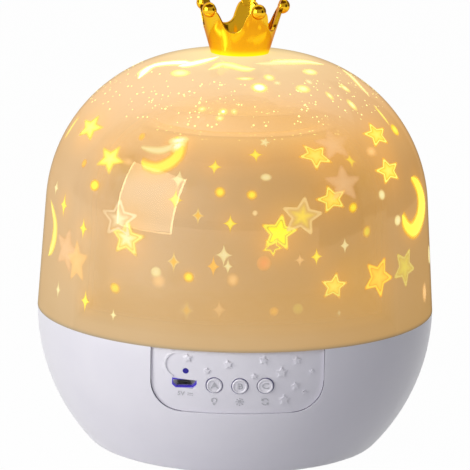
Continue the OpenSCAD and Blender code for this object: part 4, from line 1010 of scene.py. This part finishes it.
def smoothPath(points, steps):
    # evenly spaced places on a smooth curve through the points
    spots = [Vector((*p, 0)) for p in points]
    spots = [spots[0] * 2 - spots[1]] + spots + [spots[-1] * 2 - spots[-2]]
    dense = []
    for i in range(1, len(spots) - 2):
        a, b, c, d = spots[i - 1:i + 3]
        for k in range(12):
            t = k / 12
            dense.append(0.5 * (2 * b + (c - a) * t + (2 * a - 5 * b + 4 * c - d) * t * t
                                + (3 * b - a - 3 * c + d) * t ** 3))
    dense.append(spots[-2])
    lengths = [0.0]
    for a, b in zip(dense, dense[1:]):
        lengths.append(lengths[-1] + (b - a).length)
    wanted = np.linspace(0, lengths[-1], steps + 1)
    return [tuple(float(np.interp(w, lengths, [p[j] for p in dense])) for j in range(2)) for w in wanted]


def blend(a, b, share):
    return tuple(a[j] + (b[j] - a[j]) * share for j in range(3))


motifShapes = {
    "star": starShape(), "outline": starShape(), "spark": roundShape(32, 3.7), "dot": roundShape(20),
    "dash": roundShape(20),
}
motifSetup = {
    "lifts": (0.08 * mm, 0.02 * mm), "line": 0.19, "gap": 0.12, "middle": 0.02, "fillSteps": 5,
    "spill": ((0.5, 0.32), (1, 0.0)),           # share of the reach and of the cover
    "crescentRows": (-2, -1, 0, 0.12, 0.35, 0.6, 0.88, 1, 2, 3), "crescentSpill": 0.75,
    "ribbonRows": (-2, -1, -0.5, 0, 0.5, 1, 2), "taper": (6, 0.15),
}


class MotifMesh:
    # gathers thin closed plates that lie on a round body's surface
    def __init__(self, line, side):
        self.line, self.side = line, side
        self.points, self.faces, self.colours = [], [], []

    def plate(self, grid, closedRing=False):
        # rows of (turn, height, across, along, colour); two sides and a rim make a closed plate
        rows, count = len(grid), len(grid[0])
        front = len(self.points)
        back = front + rows * count
        for lift in motifSetup["lifts"]:
            for turn, height, across, along, colour in [spot for row in grid for spot in row]:
                self.points.append(onSurface(self.line, turn, height * mm, across, along, lift * self.side))
                self.colours.append(colour)
        self.faces += gridFaces(rows, count, front, closedRing=closedRing)
        self.faces += [(a, d, c, b) for a, b, c, d in gridFaces(rows, count, back, closedRing=closedRing)]
        rim = [(i * count + k, i * count + (k + 1) % count) for i in (0, rows - 1)
               for k in range(count if closedRing else count - 1)]
        if not closedRing:
            rim += [(i * count + k, (i + 1) * count + k) for i in range(rows - 1) for k in (0, count - 1)]
        self.faces += [(front + a, front + b, back + b, back + a) for a, b in rim]

    def add(self, motif):
        kind, look = motif[0], tones[motif[-1]]
        if kind == "crescent":
            self.crescent(motif[1], motif[2], look)
        elif kind == "ribbon":
            self.ribbon(motif[1], motif[2], look)
        else:
            self.flat(kind, *motif[1:6], look)

    def flat(self, kind, turn, height, width, length, rotation, look):
        c, s = math.cos(math.radians(rotation)), math.sin(math.radians(rotation))
        grid = []
        for t, colour, cover in self.layers(kind, look, (width + length) / 4):
            shape = [(u * t, v * t) for u, v in motifShapes[kind]]
            grid.append([(turn, height, (u * c + v * s) * width / 2 * mm, (v * c - u * s) * length / 2 * mm,
                          (*colour[:3], cover)) for u, v in shape])
        self.plate(grid, closedRing=True)

    def layers(self, kind, look, size):
        # from the middle outwards: share of the reach, colour and cover
        rows, edge, inner, thin = [], 1.0, 1.0, motifSetup["middle"]
        weak = look["cover"] * (1 - look["soft"])
        if look["line"]:
            edge = 1 - motifSetup["line"]
            inner = edge - motifSetup["gap"]
        if kind == "outline":
            rows.append((edge - thin, look["line"], 0.0))
        else:
            for i in range(motifSetup["fillSteps"] + 1):
                share = i / motifSetup["fillSteps"]
                rows.append((thin + (inner - thin) * share, blend(look["middle"], look["rim"], share ** 1.6),
                             look["cover"] * (1 - look["soft"] * share ** 1.3)))
            if look["line"]:
                rows += [(inner + thin, look["gap"], weak), (edge - thin, look["gap"], weak)]
        if look["line"]:
            rows += [(t, look["line"], look["lineCover"]) for t in (edge, 1.0)]
        if look["glow"]:
            rows.append((1 + thin, look["glow"], look["cover"] * 0.7))
            rows += [(1 + look["reach"] / size * t, look["glow"], look["cover"] * c)
                     for t, c in motifSetup["spill"]]
        return rows

    def crescent(self, outer, inner, look, steps=36):
        # a crescent lies between two curves that meet at its tips
        pairs = list(zip(smoothPath(outer, steps), smoothPath(inner, steps)))
        spill = look["reach"] * motifSetup["crescentSpill"]
        grid = []
        for t in motifSetup["crescentRows"]:
            share = min(max(t, 0), 1)
            away = t - share
            if away:
                colour, cover = look["glow"], look["cover"] * (0.35 if abs(away) == 1 else 0.0)
            else:
                colour = blend(look["middle"], look["line"] or look["rim"], abs(2 * t - 1) ** 3)
                cover = look["cover"]
            row = []
            for p, q in pairs:
                width = max(math.hypot(q[0] - p[0], q[1] - p[1]), tiny)
                turn, height = (p[j] + (q[j] - p[j]) * share + (q[j] - p[j]) / width * spill * away
                                for j in (0, 1))
                row.append((turn, height, 0, 0, (*colour[:3], cover)))
            grid.append(row)
        self.plate(grid)

    def ribbon(self, path, widths, look, steps=24):
        # a soft streak along a path, as wide as its widths say and narrow at its ends
        spine = smoothPath(path, steps)
        slope, least = motifSetup["taper"]
        grid = []
        for t in motifSetup["ribbonRows"]:
            lit = abs(t) <= 1
            colour = blend(look["middle"], look["rim"], abs(t)) if lit else look["glow"]
            cover = look["cover"] * (1 if abs(t) < 1 else 0.6 if lit else 0.0)
            row = []
            for i, (turn, height) in enumerate(spine):
                a, b = spine[max(i - 1, 0)], spine[min(i + 1, steps)]
                radius = onSurface(self.line, turn, height * mm, 0, 0, 0).xy.length / mm
                rise = lengthAt(self.line, b[1] * mm) / mm - lengthAt(self.line, a[1] * mm) / mm
                d = Vector((math.radians(b[0] - a[0]) * radius, rise)).normalized()
                share = i / steps
                taper = min(1, slope * share + least, slope * (1 - share) + least)
                wide = np.interp(share, np.linspace(0, 1, len(widths)), widths) * taper / 2
                wide = wide * t if lit else (wide + look["reach"] * taper) * t / 2
                row.append((turn + math.degrees(-d.y * wide / radius), height, 0, d.x * wide * mm,
                            (*colour[:3], cover)))
            grid.append(row)
        self.plate(grid)

    def build(self, name):
        obj = meshFrom(name, self.points, self.faces, 60)
        setGlow(obj.data, self.colours)
        with editing(obj.data) as work:
            bmesh.ops.recalc_face_normals(work, faces=work.faces)
        return obj


def addMotifs(name, motifs, line, side, body):
    plates = MotifMesh(line, side)
    for motif in motifs:
        plates.add(motif)
    wear(plates.build(name), motifGlow, body)


def turned(motifs, angles):
    # the same motifs again, carried round the body
    def carried(path, angle):
        return [(turn + angle, height) for turn, height in path]

    out = []
    for angle in angles:
        for kind, first, second, *rest in motifs:
            if kind == "crescent":
                out.append((kind, carried(first, angle), carried(second, angle), *rest))
            elif kind == "ribbon":
                out.append((kind, carried(first, angle), second, *rest))
            else:
                out.append((kind, first + angle, second, *rest))
    return out


def setGlow(mesh, colours):
    layer = mesh.color_attributes.new("glow", "FLOAT_COLOR", "POINT")
    layer.data.foreach_set("color", np.ravel(colours))


def placesOf(mesh):
    place = np.zeros(len(mesh.vertices) * 3)
    mesh.vertices.foreach_get("co", place)
    return place.reshape(-1, 3)


def groundAt(heights, ground):
    rows = [np.interp(heights, ground["heights"], [c[j] for c in ground["colours"]]) for j in range(3)]
    return np.array(rows).T


def paintByHeight(mesh, ground):
    colours = groundAt(placesOf(mesh)[:, 2], ground)
    setGlow(mesh, np.hstack([colours, np.ones((len(colours), 1))]))


def haloSpots(motifs):
    # where each motif throws its halo, with its reach in millimetres and its strength
    spots = []
    for motif in motifs:
        strength = tones[motif[-1]]["halo"]
        if not strength or motif[0] == "ribbon":
            continue
        if motif[0] == "crescent":
            for a, b in list(zip(smoothPath(motif[1], 8), smoothPath(motif[2], 8)))[1:-1]:
                spots.append(((a[0] + b[0]) / 2, (a[1] + b[1]) / 2, 4.5, strength * 0.45))
        else:
            size = (motif[3] + motif[4]) / 4
            spots.append((motif[1], motif[2], 1.2 + size * 1.2, strength * min(1, 0.55 + size / 12)))
    return spots


def haloField(line, mesh, motifs, ground, setup):
    # the lit ground, with a soft halo round each motif
    place = placesOf(mesh)
    radius = np.hypot(place[:, 0], place[:, 1])
    turn = np.arctan2(place[:, 0], -place[:, 1])
    length = np.interp(place[:, 2], line["heights"], line["lengths"])
    halo = np.zeros(len(place))
    for angle, height, reach, strength in haloSpots(motifs):
        away = np.angle(np.exp(1j * (turn - math.radians(angle)))) * radius
        up = length - lengthAt(line, height * mm)
        halo += strength * np.exp(-((away / (reach * mm)) ** 2 + (up / (reach * mm)) ** 2))
    share = (1 - np.exp(-halo * setup["share"]))[:, None]
    colour = np.maximum(groundAt(place[:, 2], ground) + np.array(setup["colour"]) * share, 0)
    haze = np.interp(place[:, 2], setup["hazeHeights"], setup["haze"])[:, None]
    setGlow(mesh, np.hstack([colour, haze]))


filmSetup = {
    "turns": (0.5, 120.5, 240.5), "columns": 360, "rowStep": 1.0 * mm, "insideStep": 6 * mm,
    "capEdge": 0.5 * mm,
    "ground": {
        "heights": [0.050, 0.064, 0.080, 0.104, 0.110, 0.1155, 0.11574, 0.11585, 0.11592, 0.11596,
                    0.1205, 0.123],
        "colours": [(0.42, 0.22, 0.044), (0.41, 0.215, 0.044), (0.385, 0.195, 0.038), (0.365, 0.18, 0.028),
                    (0.46, 0.22, 0.04), (0.60, 0.31, 0.07), (0.56, 0.29, 0.07), (0.49, 0.24, 0.05),
                    (0.52, 0.26, 0.06), (0.72, 0.40, 0.13), (0.76, 0.42, 0.14), (0.62, 0.33, 0.08)],
    },
    "halo": {"share": 0.62, "colour": (0.40, 0.12, -0.04), "hazeHeights": [0, 1], "haze": [1, 1]},
}


def makeFilm():
    line = measured(filmOutline(0))
    outside = filmOutline(0, filmSetup["rowStep"])
    inside = filmOutline(filmShape["wall"], filmSetup["insideStep"])
    film = lathe("filmDome", outside + inside[::-1], filmSetup["columns"], 50)
    motifs = turned(filmMotifs, filmSetup["turns"])
    haloField(line, film.data, motifs, filmSetup["ground"], filmSetup["halo"])
    wear(film, filmGlow, "film_drum")
    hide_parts("film_dome")
    addMotifs("filmMotifs", motifs, line, 1, "film_drum")
    cap = smoothCopy("film_cap", "filmCap", filmSetup["capEdge"], 4)
    paintByHeight(cap.data, filmSetup["ground"])
    wear(cap, filmGlow, "film_drum")
    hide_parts("film_cap")
    print("film dome done,", len(motifs), "motifs")


makeFilm()

# tiny points of light on the film's top and in a band of the dome, spread by geometry nodes
dustSetup = {
    "film": {"Density": 34000.0, "Least": 0.00012, "Most": 0.00042, "Seed": 7},
    "dome": {"Density": 80000.0, "Least": 0.00012, "Most": 0.00044, "Seed": 11},
    "filmFrom": 0.1149, "filmLift": 0.04 * mm, "capLift": 6.1 * mm, "capRadius": 0.0295,
    "domeBand": (0.1215, 0.1345), "columns": 120, "flatness": 0.15,
}
dustGlow = makeEmitter("dustGlow", tint(255, 250, 150), 1.5)


def dustTree():
    # the tree, and the names under which a modifier holds its values
    tree = bpy.data.node_groups.new("starDust", "GeometryNodeTree")
    sockets = {"Geometry": "Geometry", "Density": "Float", "Least": "Float", "Most": "Float", "Seed": "Int"}
    keys = {name: tree.interface.new_socket(name, in_out="INPUT", socket_type="NodeSocket" + kind).identifier
            for name, kind in sockets.items()}
    tree.interface.new_socket("Geometry", in_out="OUTPUT", socket_type="NodeSocketGeometry")
    graph = Graph(tree)
    given = graph.add("NodeGroupInput").outputs
    scatter = graph.add("GeometryNodeDistributePointsOnFaces", {
        "Mesh": given["Geometry"], "Density": given["Density"], "Seed": given["Seed"],
    }).outputs
    bead = graph.add("GeometryNodeMeshIcoSphere", {"Radius": 1.0, "Subdivisions": 1})
    flat = graph.add("GeometryNodeTransform", {
        "Geometry": bead.outputs["Mesh"], "Scale": (1, 1, dustSetup["flatness"]),
    })
    size = graph.add("FunctionNodeRandomValue", data_type="FLOAT")
    graph.feed(size, {2: given["Least"], 3: given["Most"], "Seed": given["Seed"]})
    beads = graph.add("GeometryNodeInstanceOnPoints", {
        "Points": scatter["Points"], "Rotation": scatter["Rotation"], "Instance": flat.outputs["Geometry"],
        "Scale": size.outputs[1],
    })
    real = graph.add("GeometryNodeRealizeInstances", {"Geometry": beads.outputs["Instances"]})
    lit = graph.add("GeometryNodeSetMaterial", {"Geometry": real.outputs["Geometry"], "Material": dustGlow})
    graph.add("NodeGroupOutput", {"Geometry": lit.outputs["Geometry"]})
    return tree, keys


def spreadDust(field, settings, body):
    modifier = field.modifiers.new("dust", "NODES")
    modifier.node_group, keys = dustTree()
    for name, value in settings.items():
        modifier[keys[name]] = value
    baked(field)
    smoothShade(field.data, 180)
    wear(field, dustGlow, body)
    print("dust done,", len(field.data.polygons), "faces")


def makeDust():
    columns = dustSetup["columns"]
    top = [p for p in filmOutline(-dustSetup["filmLift"]) if p[1] > dustSetup["filmFrom"]]
    field = lathe("filmDust", top, columns, 50, closed=False)
    capTop = filmShape["seat"] + filmShape["height"] + dustSetup["capLift"]
    with editing(field.data) as work:
        bmesh.ops.create_circle(work, cap_ends=True, segments=60, radius=dustSetup["capRadius"],
                                matrix=Matrix.Translation((0, 0, capTop)))
    spreadDust(field, dustSetup["film"], "film_drum")
    low, high = dustSetup["domeBand"]
    band = [p for p in domeOutline(0, 1 * mm) if low < p[1] < high]
    field = lathe("domeDust", band, columns, 50, closed=False)
    spreadDust(field, dustSetup["dome"], "outer_dome")


makeDust()

domeSetup = {
    "turns": (0.5, 180.5), "columns": 360, "footSteps": (0.12, 0.24, 0.5),
    # the dome's glow by height; the darkest colours at the very foot are a painted shade where the dome meets
    # the base
    "ground": {
        "heights": [0.0485, 0.04875, 0.0495, 0.062, 0.080, 0.104, 0.116, 0.128, 0.136, 0.1395],
        "colours": [(0.14, 0.07, 0.01), (0.20, 0.10, 0.012), (0.42, 0.215, 0.036), (0.45, 0.23, 0.044),
                    (0.46, 0.23, 0.044), (0.50, 0.24, 0.042), (0.64, 0.32, 0.07), (0.76, 0.43, 0.17),
                    (0.78, 0.50, 0.22), (0.92, 0.70, 0.34)],
    },
    "halo": {"share": 0.52, "colour": (0.40, 0.13, -0.03), "hazeHeights": [0.0525, 0.060, 0.072],
             "haze": [0.9, 0.45, 0.0]},
    "lugAngles": (45, 135, 225, 315), "lugWidth": 24, "lugSteps": 12, "lugRadii": (65.73 * mm, 67.53 * mm),
    "lugHeights": (45.5 * mm, 51.0 * mm),
}


def makeLugs():
    # four lugs that reach down inside the base
    points, faces = [], []
    steps, (inner, outer), (low, high) = (domeSetup[k] for k in ("lugSteps", "lugRadii", "lugHeights"))
    for angle in domeSetup["lugAngles"]:
        start = len(points)
        for i in range(steps + 1):
            turn = math.radians(angle + domeSetup["lugWidth"] * (i / steps - 0.5))
            section = ((inner, low), (outer, low), (outer, high), (inner, high))
            points += [around(r, turn, z) for r, z in section]
        faces += gridFaces(steps + 1, 4, start)
        faces.append(tuple(start + k for k in (0, 1, 2, 3)))
        faces.append(tuple(start + 4 * steps + k for k in (3, 2, 1, 0)))
    lugs = addPiece("domeLugs", points, faces, 30, domeTint, "outer_dome")
    setGlow(lugs.data, [(*domeSetup["ground"]["colours"][3], 1.0)] * len(lugs.data.vertices))


def makeDome():
    outer = domeOutline(0)
    foot, second = outer[0], outer[1]
    near = [tuple(foot[j] + (second[j] - foot[j]) * t for j in (0, 1)) for t in domeSetup["footSteps"]]
    outer = [foot] + near + outer[1:]
    inner = domeOutline(domeShape["wall"])
    line = measured(outer)
    dome = lathe("outerDome", outer + inner[::-1], domeSetup["columns"], 60)
    inside, outside = (turned(motifs, domeSetup["turns"]) for motifs in (domeInside, domeOutside))
    outside += turned(topLights, domeSetup["turns"][:1])
    haloField(line, dome.data, inside + outside, domeSetup["ground"], domeSetup["halo"])
    wear(dome, domeTint, "outer_dome")
    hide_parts("dome_cover")
    makeLugs()
    addMotifs("domeMotifsInside", inside, measured(inner), -1, "outer_dome")
    addMotifs("domeMotifsOutside", outside, line, 1, "outer_dome")
    print("outer dome done")


makeDome()

crownSetup = {
    "seat": 139.123 * mm, "cap": (-10.53 * mm, 150.05 * mm), "foot": 10.2 * mm, "flare": 0.3,
    "wall": 1.5 * mm, "height": 17.8 * mm, "points": 5,
    "turn": 24, "valley": (8.7 * mm, 3.6 * mm), "valleyEnd": (0.92, 0.6),
    "slope": 0.44, "ball": 2.65 * mm, "ballHeight": 16.2 * mm, "floor": 2 * mm, "boss": (3.2 * mm, 5 * mm),
    "hole": 0.8 * mm, "rim": 0.42 * mm, "rimShare": 0.32, "columns": 600, "tip": 16.1 * mm,
    "tipSoft": 1.1 * mm,
    # light: painted light on the crown's foot, fading with height, standing in for the glow of the dome below
    "light": {"heights": [0.1390, 0.1400, 0.1412, 0.1430, 0.1600],
              "colours": [(0.60, 0.60, 0.0), (0.46, 0.44, 0.0), (0.06, 0.05, 0.0), (0.0, 0.0, 0.0),
                          (0.0, 0.0, 0.0)]},
}


def crownTop(turn, radius):
    # how high the wall stands at this turn: a round valley between two points, with straight sides above it
    step = 2 * math.pi / crownSetup["points"]
    away = (turn - math.radians(crownSetup["turn"]) + step / 2) % step - step / 2
    across = radius * math.sin(step / 2 - abs(away))
    (deep, bend), (end, rise) = crownSetup["valley"], crownSetup["valleyEnd"]
    if across < end * bend:
        cut = deep + bend - math.sqrt(bend ** 2 - across ** 2)
    else:
        cut = deep + rise * bend + (across - end * bend) / crownSetup["slope"]
    # the sides round over into the level tips
    tip, soft = crownSetup["tip"], crownSetup["tipSoft"]
    return tip - soft * math.log(1 + math.exp((tip - cut) / soft))


def crownColumn(turn):
    # one slice of the wall: (radius, height) places from the foot up, over the rim and back through the floor
    foot, flare, wall, rim = (crownSetup[k] for k in ("foot", "flare", "wall", "rim"))
    outerTop = innerTop = crownSetup["height"]
    for settle in range(4):
        outerTop = crownTop(turn, foot + flare * outerTop)
        innerTop = crownTop(turn, foot + flare * innerTop - wall)
    column = [(foot + flare * z, z) for z in np.linspace(0, outerTop - rim, 16)]
    a, b = (foot + flare * outerTop, outerTop), (foot + flare * innerTop - wall, innerTop)
    low = (foot + flare * (innerTop - rim) - wall, innerTop - rim)
    near = crownSetup["rimShare"]
    over, back = ((a[0] * s + b[0] * (1 - s), a[1] * s + b[1] * (1 - s)) for s in (1 - near, near))
    for start, corner, end in ((column[-1], a, over), (back, b, low)):
        for t in np.linspace(0, 1, 6):
            column.append(tuple(start[j] * (1 - t) ** 2 + 2 * corner[j] * t * (1 - t) + end[j] * t * t
                                for j in (0, 1)))
    floor, (bossRadius, bossTop), hole = crownSetup["floor"], crownSetup["boss"], crownSetup["hole"]
    column += [(foot + flare * z - wall, z) for z in np.linspace(innerTop - rim, floor, 12)[1:]]
    column += [(bossRadius, floor), (bossRadius, bossTop - rim), (bossRadius - rim, bossTop), (hole, bossTop)]
    capAt, capRadius = crownSetup["cap"]
    for r in (hole, 4 * mm, 8 * mm):
        column.append((r, capAt + math.sqrt(capRadius ** 2 - r * r) - crownSetup["seat"]))
    return column


def addCrownBalls(work):
    # the balls end flush with the inside of the wall
    seat, foot, flare, wall, count, up = (crownSetup[k] for k in ("seat", "foot", "flare", "wall", "points",
                                                                   "ballHeight"))
    ring = foot + flare * up - wall / 4
    for k in range(count):
        turn = math.radians(crownSetup["turn"]) + 2 * math.pi * k / count
        place = Matrix.Translation(around(ring, turn, seat + up))
        ball = bmesh.ops.create_uvsphere(work, u_segments=40, v_segments=24, radius=crownSetup["ball"],
                                         matrix=place)
        for vertex in ball["verts"]:
            inside = foot + flare * (vertex.co.z - seat) - wall
            radius = vertex.co.xy.length
            if radius < inside:
                vertex.co.x *= inside / radius
                vertex.co.y *= inside / radius


def makeCrown():
    columns, points = crownSetup["columns"], []
    for k in range(columns):
        turn = 2 * math.pi * k / columns
        points += [around(r, turn, crownSetup["seat"] + z) for r, z in crownColumn(turn)]
    grid = gridFaces(columns, len(points) // columns, closedRows=True)
    crown = meshFrom("crownGilt", points, [(a, d, c, b) for a, b, c, d in grid], 50)
    with editing(crown.data) as work:
        addCrownBalls(work)
        bmesh.ops.recalc_face_normals(work, faces=work.faces)
    smoothShade(crown.data, 50)
    # the foot's painted light from below
    paintByHeight(crown.data, crownSetup["light"])
    wear(crown, crownGold, "outer_dome")
    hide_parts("crown")
    print("crown done,", len(crown.data.polygons), "faces")


makeCrown()

stageSetup = {
    "floor": 3.0, "floorShade": tint(206, 206, 210), "white": 0.985, "worldLight": 0.21,
    "worldColour": (0.92, 0.94, 1.0, 1), "lampAim": 0.09, "hoodAim": 0.1,
}


def bareGraph(name):
    # a new material without a shader
    material = bpy.data.materials.new(name)
    material.use_nodes = True
    graph = Graph(material.node_tree)
    graph.tree.nodes.remove(graph.tree.nodes["Principled BSDF"])
    return material, graph


def seenDirectly(graph):
    # 1 for rays from the camera, from reflections and through clear pieces
    path = graph.add("ShaderNodeLightPath").outputs
    seen = graph.maths("MAXIMUM", path["Is Camera Ray"], path["Is Glossy Ray"])
    return graph.maths("MAXIMUM", seen, path["Is Transmission Ray"])


def surface(graph, owner, shader):
    graph.feed(graph.tree.nodes[owner + " Output"], {"Surface": shader.outputs[0]})


def makeStage():
    mesh = bpy.data.meshes.new("floor")
    with editing(mesh) as work:
        bmesh.ops.create_grid(work, x_segments=1, y_segments=1, size=stageSetup["floor"] / 2)
    floor = addObject("floor", mesh)
    material, graph = bareGraph("floorPale")
    share = graph.maths("MULTIPLY", seenDirectly(graph), stageSetup["white"])
    diffuse = graph.add("ShaderNodeBsdfDiffuse", {"Color": stageSetup["floorShade"]})
    surface(graph, "Material", graph.mixed(share, diffuse, graph.add("ShaderNodeEmission")))
    mesh.materials.append(material)
    scene.world = bpy.data.worlds.new("studio")
    scene.world.use_nodes = True
    graph = Graph(scene.world.node_tree)
    back = graph.tree.nodes["Background"]
    graph.feed(back, {"Color": stageSetup["worldColour"], "Strength": stageSetup["worldLight"]})
    bright = graph.add("ShaderNodeBackground", {"Color": (1, 1, 1, 1)})
    surface(graph, "World", graph.mixed(seenDirectly(graph), back, bright))


lamps = {
    # turn from the front and height in degrees, distance, power, width and height
    "key": {"turn": -56, "up": 15, "far": 0.95, "power": 5.35, "wide": 0.60, "tall": 0.64,
            "colour": (1, 0.99, 0.97)},
    "fill": {"turn": 0, "up": 50, "far": 1.3, "power": 1.95, "wide": 0.9, "tall": 0.6,
             "colour": (0.96, 0.96, 1.0)},
    "low": {"turn": -14, "up": 1, "far": 1.1, "power": 1.6, "wide": 0.9, "tall": 0.15,
            "colour": (0.97, 0.96, 1.0)},
    "top": {"turn": -150, "up": 70, "far": 1.0, "power": 1.0, "wide": 0.5, "tall": 0.5,
            "colour": (1, 1, 1)},
}
cards = {
    # bright edges of the key's box and dark flags, seen in reflections alone
    "boxLeft": {"lamp": "key", "at": (-0.312, 0, 0), "wide": 0.022, "tall": 0.66, "light": (15, 14, 12)},
    "boxRight": {"lamp": "key", "at": (0.312, 0, 0), "wide": 0.022, "tall": 0.66, "light": (15, 14, 12)},
    "boxFoot": {"lamp": "key", "at": (0, -0.33, 0), "wide": 0.62, "tall": 0.010, "light": (9, 8, 6.5)},
    "flagRight": {"turn": 62, "up": 4, "far": 0.9, "wide": 0.5, "tall": 0.8, "light": (0.05, 0.04, 0.03)},
    "flagBehind": {"turn": 125, "up": 10, "far": 1.1, "wide": 1.2, "tall": 1.2, "light": (0.22, 0.21, 0.22)},
}
hoodSetup = {
    # a dim hood round the light: each band's heights in degrees, and its light
    "radius": 1.8, "turns": (-118, 118), "across": 24, "up": 8,
    "bands": {
        "Low": (0, 6, (0.16, 0.10, 0.05)), "Middle": (6, 46, (0.55, 0.50, 0.42)),
        "High": (46, 108, (0.12, 0.06, 0.02)),
    },
}


def lightPlace(setup):
    away = direction(math.radians(setup["turn"]), math.radians(setup["up"]))
    return Vector((0, 0, stageSetup["lampAim"])) + away * setup["far"], away.to_track_quat("Z", "Y")


def makeLamps():
    for name, setup in lamps.items():
        data = bpy.data.lights.new(name, "AREA")
        data.shape = "RECTANGLE"
        data.size, data.size_y = setup["wide"], setup["tall"]
        data.energy = setup["power"]
        data.color = setup["colour"]
        lamp = addObject(name, data)
        lamp.rotation_mode = "QUATERNION"
        lamp.location, lamp.rotation_quaternion = lightPlace(setup)
        lamp.visible_glossy = name == "key"


def addCard(name, points, faces, light):
    # bright and dark studio cards show in reflections alone
    card = meshFrom(name, points, faces)
    material, graph = bareGraph(name)
    surface(graph, "Material", graph.add("ShaderNodeEmission", {"Color": (*light, 1)}))
    card.data.materials.append(material)
    card.visible_camera = card.visible_diffuse = card.visible_transmission = card.visible_shadow = False


def makeCards():
    for name, setup in cards.items():
        place, aim = lightPlace(lamps[setup["lamp"]] if "lamp" in setup else setup)
        centre = place + aim @ Vector(setup.get("at", (0, 0, 0)))
        corners = [centre + aim @ Vector((x * setup["wide"] / 2, y * setup["tall"] / 2, 0))
                   for x, y in ((-1, -1), (1, -1), (1, 1), (-1, 1))]
        addCard(name, corners, [(0, 1, 2, 3)], setup["light"])
    radius, across, up = (hoodSetup[k] for k in ("radius", "across", "up"))
    turns = [math.radians(np.interp(i, [0, across], hoodSetup["turns"])) for i in range(across + 1)]
    for name, (low, high, light) in hoodSetup["bands"].items():
        rises = [math.radians(low + (high - low) * k / up) for k in range(up + 1)]
        points = [Vector((0, 0, stageSetup["hoodAim"])) + radius * direction(turn, rise)
                  for turn in turns for rise in rises]
        addCard("hood" + name, points, gridFaces(across + 1, up + 1, closedRing=False), light)


makeStage()
makeLamps()
makeCards()
print("stage and lamps done")
